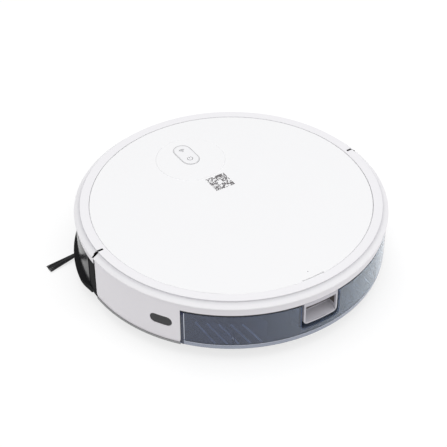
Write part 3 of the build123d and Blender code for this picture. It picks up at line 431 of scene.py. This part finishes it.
# %% [markdown]
# ## Nylon bristles of the side brush
#
# Each arm of a side brush ends in a tuft of stiff nylon, pinched where the rubber holds it and
# fanned where it meets the floor. A solid wedge looks like a paddle, so the CAD wedges are
# hidden and about eighty tapered hairs per arm take their place. A hair's angle follows its
# place in the row, and a seeded random turn keeps the tips from lining up.

# %% Tree for a fanned tuft
THIRD = 2 * math.pi / 3
TUFT_RISE = 0.9
TIP_SHARE = 0.6
EXTRA_DROOP = 0.018
SHORTEST = 0.05


def random_between(tree, low, high, seed):
    """A seeded random number for each point."""
    return node(tree, "FunctionNodeRandomValue", {"Min": low, "Max": high, "Seed": seed},
                data_type="FLOAT").outputs["Value"]


def tuft_tree(material):
    """Tapered hairs fanned from a short root, with one such tuft on each of the given points."""
    tree, size = new_tree("bristle tuft", Hairs=80, Root=3.6, Fan=0.085, Length=42.0, Droop=0.095,
                          Thickness=0.24, Jitter=0.02)
    row = node(tree, "GeometryNodeMeshLine", {"Count": size["Hairs"]}, mode="OFFSET")
    index = node(tree, "GeometryNodeInputIndex").outputs[0]
    part = calc(tree, "DIVIDE", index, size["Hairs"])
    across = calc(tree, "SUBTRACT", calc(tree, "MULTIPLY", part, 2.0), 1.0)
    loose = random_between(tree, -1.0, 1.0, 7)
    lift = random_between(tree, -1.0, 1.0, 19)
    side = calc(tree, "MULTIPLY", calc(tree, "MULTIPLY", across, size["Root"]), 0.5 * MM)
    height = calc(tree, "MULTIPLY", lift, TUFT_RISE * MM)
    start = node(tree, "ShaderNodeCombineXYZ", {"Y": side, "Z": height}).outputs[0]
    moved = node(tree, "GeometryNodeSetPosition", {"Geometry": row.outputs["Mesh"], "Position": start})
    thick = metres(tree, size["Thickness"])
    hair = node(tree, "GeometryNodeMeshCone",
                {"Vertices": 5, "Radius Top": calc(tree, "MULTIPLY", thick, TIP_SHARE),
                 "Radius Bottom": thick, "Depth": metres(tree, size["Length"])})
    turn = calc(tree, "ADD", calc(tree, "MULTIPLY", across, size["Fan"]),
                calc(tree, "MULTIPLY", loose, size["Jitter"]))
    droop = calc(tree, "ADD", size["Droop"], calc(tree, "MULTIPLY", lift, EXTRA_DROOP))
    tip = calc(tree, "ADD", droop, math.pi / 2)
    aim = node(tree, "ShaderNodeCombineXYZ", {"Y": tip, "Z": turn}).outputs[0]
    stretch = calc(tree, "SUBTRACT", 1.0, calc(tree, "MULTIPLY", calc(tree, "ABSOLUTE", loose), SHORTEST))
    long = node(tree, "ShaderNodeCombineXYZ", {"X": 1.0, "Y": 1.0, "Z": stretch}).outputs[0]
    tuft = node(tree, "GeometryNodeInstanceOnPoints",
                {"Points": moved.outputs["Geometry"], "Instance": hair.outputs["Mesh"],
                 "Rotation": aim, "Scale": long})
    number = node(tree, "GeometryNodeInputIndex").outputs[0]
    around = node(tree, "ShaderNodeCombineXYZ", {"Z": calc(tree, "MULTIPLY", number, THIRD)}).outputs[0]
    fans = node(tree, "GeometryNodeInstanceOnPoints",
                {"Points": size["Points"], "Instance": tuft.outputs["Instances"], "Rotation": around})
    close_tree(tree, fans.outputs["Instances"], material)
    return tree


# %% Two side brushes
HUB_PHASE = math.radians(3.6)
ARM_END = 29.6 * MM
TUFT_HEIGHT = 5.1 * MM


def box_middle(name):
    """The middle of a CAD node's box."""
    low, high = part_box(name)
    return (Vector(low) + Vector(high)) / 2


tuft = tuft_tree(finish["bristle_dark"])
for side in ("left", "right"):
    hub = box_middle(f"side_brush_screw_{side}")
    start = HUB_PHASE if side == "left" else math.pi - HUB_PHASE
    ends = [(ARM_END * math.cos(THIRD * i), ARM_END * math.sin(THIRD * i), 0) for i in range(3)]
    place = Matrix.Translation((hub.x, hub.y, TUFT_HEIGHT)) @ Matrix.Rotation(start, 4, "Z")
    grow(f"side_brush_hairs_{side}", tuft, f"{side}_side_brush", ends, place,
         (f"side_brush_bristles_{side}",))

# %% [markdown]
# ## Bristle rows of the main roller
#
# The roller carries rows of bristle tufts in a shallow V, so that the dirt is swept to the middle,
# with a rubber blade between each pair of rows. The tree bends a straight row of tufts into the V
# by turning each one a little further round the core the farther it stands from the middle.

# %% Tree for the roller's rows
ROLLER_HALF, ROLLER_CORE, ROLLER_VEE = 69.0, 8.2, 0.75
HAIR_TIP, HAIR_ROOT = 0.16 * MM, 0.2 * MM
LEAN_ACROSS, LEAN_ALONG = 0.075, 0.12
ROOT_SPREAD = 6 * MM


def row_tree(material):
    """Rows of small tufts round the roller, each row bent into a V."""
    tree, size = new_tree("roller rows", Tufts=46, Rows=3, Half=ROLLER_HALF, Core=ROLLER_CORE,
                          Reach=18.6, Vee=ROLLER_VEE, Hairs=9)
    total = calc(tree, "MULTIPLY", size["Tufts"], size["Rows"])
    line = node(tree, "GeometryNodeMeshLine", {"Count": total}, mode="OFFSET")
    index = node(tree, "GeometryNodeInputIndex").outputs[0]
    row = calc(tree, "FLOOR", calc(tree, "DIVIDE", calc(tree, "ADD", index, 0.5), size["Tufts"]))
    column = calc(tree, "SUBTRACT", index, calc(tree, "MULTIPLY", row, size["Tufts"]))
    last = calc(tree, "SUBTRACT", size["Tufts"], 1.0)
    along = calc(tree, "SUBTRACT", calc(tree, "MULTIPLY", calc(tree, "DIVIDE", column, last), 2.0), 1.0)
    turn = calc(tree, "ADD", calc(tree, "MULTIPLY", row, THIRD),
                calc(tree, "MULTIPLY", calc(tree, "ABSOLUTE", along), size["Vee"]))
    x = calc(tree, "MULTIPLY", calc(tree, "MULTIPLY", along, size["Half"]), MM)
    core = metres(tree, size["Core"])
    y = calc(tree, "MULTIPLY", calc(tree, "MULTIPLY", calc(tree, "SINE", turn), core), -1.0)
    z = calc(tree, "MULTIPLY", calc(tree, "COSINE", turn), core)
    spot = node(tree, "ShaderNodeCombineXYZ", {"X": x, "Y": y, "Z": z}).outputs[0]
    moved = node(tree, "GeometryNodeSetPosition", {"Geometry": line.outputs["Mesh"], "Position": spot})
    length = calc(tree, "MULTIPLY", calc(tree, "SUBTRACT", size["Reach"], size["Core"]), MM)
    hair = node(tree, "GeometryNodeMeshCone", {"Vertices": 4, "Radius Top": HAIR_TIP,
                                              "Radius Bottom": HAIR_ROOT, "Depth": length})
    bunch = node(tree, "GeometryNodeMeshLine", {"Count": size["Hairs"]}, mode="OFFSET")
    lean_x = random_between(tree, -LEAN_ACROSS, LEAN_ACROSS, 3)
    lean_y = random_between(tree, -LEAN_ALONG, LEAN_ALONG, 5)
    root = node(tree, "ShaderNodeCombineXYZ", {"X": calc(tree, "MULTIPLY", lean_y, ROOT_SPREAD),
                                              "Y": calc(tree, "MULTIPLY", lean_x, ROOT_SPREAD)}).outputs[0]
    set_root = node(tree, "GeometryNodeSetPosition", {"Geometry": bunch.outputs["Mesh"], "Position": root})
    lean = node(tree, "ShaderNodeCombineXYZ", {"X": lean_x, "Y": lean_y}).outputs[0]
    tuft_shape = node(tree, "GeometryNodeInstanceOnPoints",
                      {"Points": set_root.outputs["Geometry"], "Instance": hair.outputs["Mesh"],
                       "Rotation": lean}).outputs["Instances"]
    aim = node(tree, "ShaderNodeCombineXYZ", {"X": turn}).outputs[0]
    rows = node(tree, "GeometryNodeInstanceOnPoints", {"Points": moved.outputs["Geometry"],
                                                      "Instance": tuft_shape, "Rotation": aim})
    close_tree(tree, rows.outputs["Instances"], material)
    return tree


# %% Bristles and blades on the roller
BLADE_REACH, BLADE_THICK = 18.2 * MM, 1.5 * MM
BLADE_STEPS = 48


def tube_faces(steps, ring=(0, 1, 2, 3)):
    """Faces of a closed four-sided tube whose corners come four to a step."""
    turns = list(zip(ring, ring[1:] + ring[:1]))
    walls = [(4 * i + a, 4 * i + b, 4 * i + 4 + b, 4 * i + 4 + a) for i in range(steps) for a, b in turns]
    return walls + [ring, tuple(4 * steps + k for k in ring)]


def roller_blade(name, start):
    """A rubber blade that follows the same V as the bristles."""
    core = ROLLER_CORE * MM
    vertices = []
    for i in range(BLADE_STEPS + 1):
        along = 2 * i / BLADE_STEPS - 1
        turn = start + abs(along) * ROLLER_VEE
        for radius, side in ((core, -1), (BLADE_REACH, -1), (BLADE_REACH, 1), (core, 1)):
            edge = BLADE_THICK * side / 2
            vertices.append((along * ROLLER_HALF * MM,
                             axis.y - radius * math.sin(turn) + edge * math.cos(turn),
                             axis.z + radius * math.cos(turn) + edge * math.sin(turn)))
    return built(name, "roller", vertices, tube_faces(BLADE_STEPS), finish["lip_black"])


axis = box_middle("roller_core")
grow("roller_bristle_rows", row_tree(finish["roller_bristle"]), "roller",
     place=Matrix.Translation(axis), stands_for=("roller_bristles",))
for i in range(3):
    roller_blade(f"roller_blade_{i}", THIRD / 2 + i * THIRD)

# %% [markdown]
# ## Printed signs on the lid
#
# The button carries a radio-wave sign and a power sign, and behind it the lid has a square of
# small printed modules. Ink is a few hundredths of a millimetre thick, so each sign is a very
# thin solid on the surface. The square is a seeded random pattern: it looks like a printed code
# from a distance but encodes nothing. On the button most of the ink is sunk into the face, so
# that the robot gets no taller.

# %% Ink
ink = surface("grey_printing_ink", (0.16, 0.15, 0.155), rough=0.5, drift=0.1, grain=0.1)
sign_ink = surface("dark_grey_sign_ink", (0.20, 0.20, 0.21), rough=0.5, drift=0.06, grain=0.1)
# A grey line round the button stands in for the shade in the gap around it: painted shade.
gap_shade_paint = surface("button_gap_shade", (0.42, 0.42, 0.43), rough=0.5, drift=0.04, grain=0.1)
INK, INK_SHOWS = 0.04 * MM, 0.01 * MM
LID_RISE = 0.5 * MM
button_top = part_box("power_button")[1][2] - INK + INK_SHOWS
lid_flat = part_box("lid_panel")[1][2] - LID_RISE


def arc_strip(centre, radius, width, start, end, z, steps=24):
    """Corners and faces of a thin arc of ink, for adding to a sign."""
    corners = []
    for i in range(steps + 1):
        turn = math.radians(start + (end - start) * i / steps)
        for r in (radius - width / 2, radius + width / 2):
            for height in (z, z + INK):
                corners.append((centre[0] + r * math.cos(turn), centre[1] + r * math.sin(turn), height))
    return corners, tube_faces(steps, (0, 1, 3, 2))


def box_corners(x0, x1, y0, y1, z0, z1):
    """Corners and faces of a box, for adding to a sign."""
    corners = [(x, y, z) for z in (z0, z1) for x, y in ((x0, y0), (x1, y0), (x1, y1), (x0, y1))]
    return corners, [(3, 2, 1, 0), (4, 5, 6, 7)] + [(k, (k + 1) % 4, 4 + (k + 1) % 4, 4 + k)
                                                    for k in range(4)]


def sign(name, body, strips, material):
    """One piece from several strips, each given by its corners and faces."""
    corners, faces = [], []
    for more_corners, more_faces in strips:
        first = len(corners)
        corners += more_corners
        faces += [tuple(first + k for k in face) for face in more_faces]
    return built(name, body, corners, faces, material)


# %% Power sign and radio-wave sign
POWER_Y, WAVES_Y = -80.8 * MM, -95.4 * MM
SIGN_LINE = 0.7 * MM
POWER_R, POWER_GAP = 2.9 * MM, (-60, 240)
BAR_CENTRE, BAR_R, BAR_LENGTH = POWER_Y - 12.4 * MM, 10.6 * MM, 2.8 * MM
BAR_ARC = (88.2, 91.8)
WAVE_RADII, WAVE_ARC = (1.5 * MM, 2.9 * MM, 4.3 * MM), (222, 318)
DOT_R, DOT_LINE = 0.28 * MM, 0.54 * MM

power = [arc_strip((0, POWER_Y), POWER_R, SIGN_LINE, *POWER_GAP, button_top),
         arc_strip((0, BAR_CENTRE), BAR_R, BAR_LENGTH, *BAR_ARC, button_top, 2)]
sign("power_sign", "button", power, sign_ink)
waves = [arc_strip((0, WAVES_Y), radius, SIGN_LINE, *WAVE_ARC, button_top) for radius in WAVE_RADII]
waves.append(arc_strip((0, WAVES_Y), DOT_R, DOT_LINE, 0, 359.9, button_top))
sign("radio_wave_sign", "button", waves, sign_ink)

# %% Outline of the button: painted shade of the gap round it
OUTLINE, OUTLINE_INSET = 0.5 * MM, 0.45 * MM
low, high = (Vector(corner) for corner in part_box("power_button"))
pill_r = (high.x - low.x) / 2 - OUTLINE_INSET
turn_at = (high.y - low.y) / 2 - (high.x - low.x) / 2
middle_y = (low.y + high.y) / 2
outline = [arc_strip((0, middle_y + turn_at), pill_r, OUTLINE, 0, 180, button_top, 32),
           arc_strip((0, middle_y - turn_at), pill_r, OUTLINE, 180, 360, button_top, 32)]
for side in (-1, 1):
    x0, x1 = sorted((side * (pill_r - OUTLINE / 2), side * (pill_r + OUTLINE / 2)))
    outline.append(box_corners(x0, x1, middle_y - turn_at, middle_y + turn_at, button_top,
                               button_top + INK))
sign("button_gap_shade", "button", outline, gap_shade_paint)

# %% Printed square of modules
BLANK_MIDDLE = 2.6 * MM
OVERLAP = 1.02


def module_tree(material):
    """A seeded random share of the cells of a square grid, with a blank middle."""
    tree, size = new_tree("printed modules", Cells=21, Side=21.6, Share=0.56, Seed=11)
    side = metres(tree, size["Side"])
    grid = node(tree, "GeometryNodeMeshGrid", {"Size X": side, "Size Y": side,
                                              "Vertices X": size["Cells"], "Vertices Y": size["Cells"]})
    place = node(tree, "GeometryNodeInputPosition").outputs[0]
    spot = node(tree, "ShaderNodeSeparateXYZ", {0: place}).outputs
    inked = node(tree, "FunctionNodeRandomValue", {"Probability": size["Share"], "Seed": size["Seed"]},
                 data_type="BOOLEAN").outputs[3]
    reach = calc(tree, "MAXIMUM", calc(tree, "ABSOLUTE", spot["X"]), calc(tree, "ABSOLUTE", spot["Y"]))
    blank = calc(tree, "LESS_THAN", reach, BLANK_MIDDLE)
    keep = calc(tree, "MULTIPLY", inked, calc(tree, "SUBTRACT", 1.0, blank))
    cell = calc(tree, "DIVIDE", side, size["Cells"])
    wide = calc(tree, "MULTIPLY", cell, OVERLAP)
    flat = node(tree, "ShaderNodeCombineXYZ", {"X": wide, "Y": wide, "Z": INK}).outputs[0]
    block = node(tree, "GeometryNodeMeshCube", {"Size": flat})
    printed = node(tree, "GeometryNodeInstanceOnPoints",
                   {"Points": grid.outputs["Mesh"], "Selection": keep, "Instance": block.outputs["Mesh"]})
    close_tree(tree, printed.outputs["Instances"], material)
    return tree


SQUARE_X, SQUARE_Y = -5.4 * MM, -29.5 * MM
grow("printed_square", module_tree(ink), "chassis",
     place=Matrix.Translation((SQUARE_X, SQUARE_Y, lid_flat + INK / 2)))

# %% [markdown]
# ## The clear bin's edges and ribs
#
# A clear moulding shows its thickness. Where the wall turns inwards the light goes through
# centimetres of smoky plastic and the edge turns navy; where an inner corner faces the light
# it turns bright, and those bright lines are painted highlights. Each of these lines follows
# the round wall, so one helper lays a bar of given width along a path of arc lengths and heights,
# and a list of paths draws them all.

# %% Bars that follow the round wall
BIN_R = 160.8 * MM
tank_low, tank_high = (Vector(corner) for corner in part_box("bin_tank"))
SIDE = BIN_R * math.asin(tank_high.x / BIN_R)
FOOT, BIN_TOP = tank_low.z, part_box("bin_cover")[0][2]
LEAN, LEAN_HEIGHT = 1.0 * MM, 5.8 * MM


def wall_lean(height):
    """How far the wall's foot is drawn in at a height."""
    return min(0.0, (height - FOOT) / LEAN_HEIGHT - 1.0) * LEAN


def wall_bar(path, width, inner, outer):
    """Corners and faces of a bar along a path of (arc length, height) points on the round wall."""
    corners = []
    for i, (along, height) in enumerate(path):
        before, after = path[max(0, i - 1)], path[min(len(path) - 1, i + 1)]
        run, rise = after[0] - before[0], after[1] - before[1]
        size = math.hypot(run, rise)
        off = (-rise / size * width / 2, run / size * width / 2)
        for radius, side in ((inner, -1), (outer, -1), (outer, 1), (inner, 1)):
            turn, z = (along + side * off[0]) / BIN_R, height + side * off[1]
            reach = radius + wall_lean(z)
            corners.append((reach * math.sin(turn), reach * math.cos(turn), z))
    return corners, tube_faces(len(path) - 1)


def level_run(start, end, height):
    """A path at one height."""
    return [(start + (end - start) * i / RUN_STEPS, height) for i in range(RUN_STEPS + 1)]


RUN_STEPS = 64
SKIN_IN, SKIN_OUT = BIN_R - 0.25 * MM, BIN_R + 0.07 * MM
EDGE = 2.4 * MM

# %% Navy edges where the wall is thick
lever_low, lever_high = (Vector(corner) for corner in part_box("release_lever"))
POCKET = lever_high.x + 3.0 * MM
POCKET_FOOT = lever_low.z - 6.2 * MM
POCKET_LINE = 0.8 * MM
BEND = 4 * MM
EDGE_LIFT = 0.4 * MM
upright = [(-POCKET, BIN_TOP), (-POCKET, POCKET_FOOT + BEND)]
bend = [(-POCKET + BEND * (1 - math.cos(a)), POCKET_FOOT + BEND * (1 - math.sin(a)))
        for a in (math.radians(degrees) for degrees in range(15, 90, 15))]
half = upright + bend + [(-POCKET + BEND, POCKET_FOOT)]
pocket_path = half + [(-along, height) for along, height in reversed(half)]
edges = [wall_bar([(side * (SIDE - EDGE / 2), FOOT + EDGE_LIFT), (side * (SIDE - EDGE / 2), BIN_TOP)],
                  EDGE, SKIN_IN, SKIN_OUT) for side in (-1, 1)]
sign("bin_navy_edges", "dust_bin", edges, finish["bin_edge"])
sign("bin_pocket_edge", "dust_bin", [wall_bar(pocket_path, POCKET_LINE, SKIN_IN, SKIN_OUT)],
     finish["bin_pocket_line"])

# %% Painted highlights on the inner corners, and a pale skirt that is partly painted reflection
FLOOR_LINE, FLOOR_GLINT = FOOT + 5.2 * MM, 0.7 * MM
CORNER_GLINT, GLINT_GAP = 0.6 * MM, 1 * MM
SKIRT_MIDDLE, SKIRT = FOOT + 2.4 * MM, 4.2 * MM
ends = (-SIDE + EDGE, SIDE - EDGE)
# Bright lines on the bin's foot and inner corners: painted highlights.
glints = [wall_bar(level_run(*ends, FLOOR_LINE), FLOOR_GLINT, SKIN_IN, SKIN_OUT)]
for side in (-1, 1):
    x = side * (SIDE - EDGE - CORNER_GLINT)
    glints.append(wall_bar([(x, FLOOR_LINE), (x, BIN_TOP - GLINT_GAP)], CORNER_GLINT, SKIN_IN, SKIN_OUT))
sign("bin_bright_corners", "dust_bin", glints, finish["bin_glint"])
# A paler band on the bin's curved foot: partly its thick bottom edge, partly painted reflection of the
# floor.
skirt = [wall_bar(level_run(*ends, SKIRT_MIDDLE), SKIRT, SKIN_IN, SKIN_OUT)]
sign("bin_skirt_edge_and_reflection", "dust_bin", skirt, finish["bin_skirt"])

# %% Leaning ribs inside the wall
RIB_DEPTH = 0.7 * MM


def rib_tree(material):
    """Slanted ribs in a row: each point is turned round the bin by its number."""
    tree, size = new_tree("leaning ribs", Ribs=5, First=30.0, Step=4.1, Lean=0.64, Height=32.0,
                          Thick=1.6, Radius=157.7, Middle=34.0)
    line = node(tree, "GeometryNodeMeshLine", {"Count": size["Ribs"]}, mode="OFFSET")
    index = node(tree, "GeometryNodeInputIndex").outputs[0]
    bearing = calc(tree, "ADD", size["First"], calc(tree, "MULTIPLY", index, size["Step"]))
    turn = calc(tree, "MULTIPLY", bearing, math.pi / 180)
    radius = metres(tree, size["Radius"])
    x = calc(tree, "MULTIPLY", calc(tree, "SINE", turn), radius)
    y = calc(tree, "MULTIPLY", calc(tree, "COSINE", turn), radius)
    z = metres(tree, size["Middle"])
    spot = node(tree, "ShaderNodeCombineXYZ", {"X": x, "Y": y, "Z": z}).outputs[0]
    moved = node(tree, "GeometryNodeSetPosition", {"Geometry": line.outputs["Mesh"], "Position": spot})
    shape = node(tree, "ShaderNodeCombineXYZ",
                 {"X": metres(tree, size["Thick"]), "Y": RIB_DEPTH,
                  "Z": metres(tree, size["Height"])}).outputs[0]
    bar = node(tree, "GeometryNodeMeshCube", {"Size": shape})
    aim = node(tree, "ShaderNodeCombineXYZ", {"Y": size["Lean"], "Z": calc(tree, "MULTIPLY", turn, -1.0)})
    ribs = node(tree, "GeometryNodeInstanceOnPoints",
                {"Points": moved.outputs["Geometry"], "Instance": bar.outputs["Mesh"],
                 "Rotation": aim.outputs[0]})
    close_tree(tree, ribs.outputs["Instances"], material)
    return tree


# The ribs are real, but their pale colour stands in for the light they catch: a painted highlight.
ribs = rib_tree(finish["bin_rib"])
grow("bin_ribs_left", ribs, "dust_bin", First=25.6, Ribs=5)
grow("bin_ribs_right", ribs, "dust_bin", First=-43.0, Ribs=6, Step=3.4, Thick=0.7, Height=24.0)

# %% [markdown]
# ## Shade in the finger scoop
#
# The scoop is deepest at its top, where little light gets in. Three thin dark plates line its
# upper back, its roof and one side. A ray from outside finds where the back wall stands.

# %% Shade at the top of the finger scoop
SCOOP_HALF = 17.6 * MM
SCOOP_TOP, SHADE_FOOT = lever_high.z - 4.4 * MM, lever_high.z - 19.0 * MM
PROBE_DROP, SHADE, SIDE_SHADE = 4 * MM, 0.3 * MM, 0.2 * MM
SIDE_LIFT = 1 * MM
OUTSIDE = 0.3
hit, spot, _, _ = nodes["release_lever"].ray_cast(Vector((0, OUTSIDE, SCOOP_TOP - PROBE_DROP)),
                                                  Vector((0, -1, 0)))
scoop_back, shade_front = spot.y, spot.y + 8 * MM
print("back of the scoop", hit, round(scoop_back / MM, 2), "mm")
sign("scoop_shade", "lever",
     [box_corners(-SCOOP_HALF, SCOOP_HALF, scoop_back, scoop_back + SHADE, SHADE_FOOT, SCOOP_TOP),
      box_corners(-SCOOP_HALF - SIDE_SHADE, -SCOOP_HALF, scoop_back, shade_front,
                  SHADE_FOOT + SIDE_LIFT, SCOOP_TOP),
      box_corners(-SCOOP_HALF, SCOOP_HALF, scoop_back, shade_front, SCOOP_TOP - SHADE, SCOOP_TOP)],
     finish["recess_shade"])

# %% [markdown]
# ## The split between bumper and housing
#
# The bumper stops 2.6 mm short of the housing so that it can be pushed in. A black foam seal on
# the faces of that slot makes the split read as a black line. Each seal is a thin plate with the
# section of the moulding behind it, and the slot stays open for the bumper's travel.

# %% Black seals in the split
SEAL = 0.25 * MM
BEVEL_CAP_BACK = 1.1 * MM
# Sections in millimetres, as (distance from the middle, height): the bumper's end under the
# ring, the strip of bevel over it, and the end of the ring.
BUMPER_END = [(151.3, 71.7), (151.3, 72.9), (156.4, 72.9), (161.8, 68.9), (162.2, 68.3), (160.8, 67.3),
              (160.8, 59.8), (158.5, 59.4), (158.5, 16.2), (157.2, 16.2), (157.2, 66.2), (154.6, 71.7)]
BEVEL_CAP = [(156.5, 72.2), (156.5, 73.02), (161.4, 69.4), (161.4, 68.6)]
RING_END = [(149.9, 73.4), (155.9, 73.4), (155.9, 74.5), (149.9, 74.5)]
split_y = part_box("bumper_shell")[1][1]


def end_seal(name, body, section, side, back=0.0):
    """A thin plate of that section against the moulding's end, or from a little behind it."""
    corners = [(side * x * MM, y, z * MM) for y in (split_y - back, split_y + SEAL) for x, z in section]
    count = len(section)
    sides = [(k, (k + 1) % count, count + (k + 1) % count, count + k) for k in range(count)]
    flat = [tuple(range(count)), tuple(range(count, 2 * count))]
    return built(name, body, corners, flat + sides, finish["seal_black"])


for side, name in ((1, "left"), (-1, "right")):
    end_seal(f"bumper_seal_{name}", "bumper", BUMPER_END, side)
    end_seal(f"ring_seal_{name}", "chassis", RING_END, side)
    end_seal(f"bevel_seal_{name}", "bumper", BEVEL_CAP, side, BEVEL_CAP_BACK)

# %% [markdown]
# ## Cross-recess screws
#
# The base is held by screws. Each head has a driver cross, cut from a low cylinder by two slots,
# and the same head is placed at every screw of the CAD node, whose solids give the places.

# %% Screw tree
HEAD_RISE = 1.3
CROSS_OVER = 1.1
CROSS_SINK, STEM_LIFT = -0.45, 0.49
TURNS_SEED = 4
SAME_CORNER = 0.01 * MM


def island_boxes(part):
    """The box of each separate solid in a CAD node."""
    work = bmesh.new()
    work.from_mesh(part.data)
    bmesh.ops.remove_doubles(work, verts=work.verts, dist=SAME_CORNER)
    boxes, seen = [], set()
    for vertex in work.verts:
        if vertex in seen:
            continue
        island, edge = {vertex}, [vertex]
        while edge:
            for link in edge.pop().link_edges:
                for other in link.verts:
                    if other not in island:
                        island.add(other)
                        edge.append(other)
        seen |= island
        corners = [v.co.copy() for v in island]
        boxes.append((Vector([min(c[k] for c in corners) for k in range(3)]),
                      Vector([max(c[k] for c in corners) for k in range(3)])))
    work.free()
    return boxes


def screw_tree(material):
    """A low head with a cross cut into it on a plain shank, placed at every given point."""
    tree, size = new_tree("cross recess screw", Head=2.9, Rise=HEAD_RISE, Shank=1.2, Length=6.0,
                          Slot=0.8)
    head = metres(tree, size["Head"])
    rise = metres(tree, size["Rise"])
    length = metres(tree, size["Length"])
    disc = node(tree, "GeometryNodeMeshCylinder", {"Vertices": 28, "Radius": head, "Depth": rise})
    slot = metres(tree, size["Slot"])
    arm = node(tree, "ShaderNodeCombineXYZ", {"X": calc(tree, "MULTIPLY", head, CROSS_OVER), "Y": slot,
                                             "Z": rise})
    arms = node(tree, "GeometryNodeMeshCube", {"Size": arm.outputs[0]})
    low = node(tree, "ShaderNodeCombineXYZ", {"Z": calc(tree, "MULTIPLY", rise, CROSS_SINK)}).outputs[0]
    one = node(tree, "GeometryNodeTransform", {"Geometry": arms.outputs["Mesh"], "Translation": low})
    two = node(tree, "GeometryNodeTransform", {"Geometry": arms.outputs["Mesh"], "Translation": low,
                                              "Rotation": (0, 0, math.pi / 2)})
    first = node(tree, "GeometryNodeMeshBoolean", {0: disc.outputs["Mesh"], 1: one.outputs["Geometry"]},
                 operation="DIFFERENCE")
    cut = node(tree, "GeometryNodeMeshBoolean", {0: first.outputs["Mesh"], 1: two.outputs["Geometry"]},
               operation="DIFFERENCE")
    shank = node(tree, "GeometryNodeMeshCylinder", {"Vertices": 12, "Depth": length,
                                                   "Radius": metres(tree, size["Shank"])})
    above = calc(tree, "ADD", calc(tree, "MULTIPLY", rise, STEM_LIFT), calc(tree, "MULTIPLY", length, 0.5))
    up = node(tree, "ShaderNodeCombineXYZ", {"Z": above}).outputs[0]
    stem = node(tree, "GeometryNodeTransform", {"Geometry": shank.outputs["Mesh"], "Translation": up})
    whole = node(tree, "GeometryNodeJoinGeometry")
    tree.links.new(cut.outputs["Mesh"], whole.inputs[0])
    tree.links.new(stem.outputs["Geometry"], whole.inputs[0])
    turns = random_between(tree, 0.0, 1.5, TURNS_SEED)
    aim = node(tree, "ShaderNodeCombineXYZ", {"Z": turns}).outputs[0]
    placed = node(tree, "GeometryNodeInstanceOnPoints",
                  {"Points": size["Points"], "Instance": whole.outputs[0], "Rotation": aim})
    close_tree(tree, placed.outputs["Instances"], material)
    return tree


# %% Screws under the base
spots = [((low + high) / 2).to_2d().to_3d() + Vector((0, 0, low.z + HEAD_RISE * MM / 2))
         for low, high in island_boxes(nodes["screws"])]
grow("cross_screws", screw_tree(finish["steel"]), "chassis", spots, stands_for=("screws",))
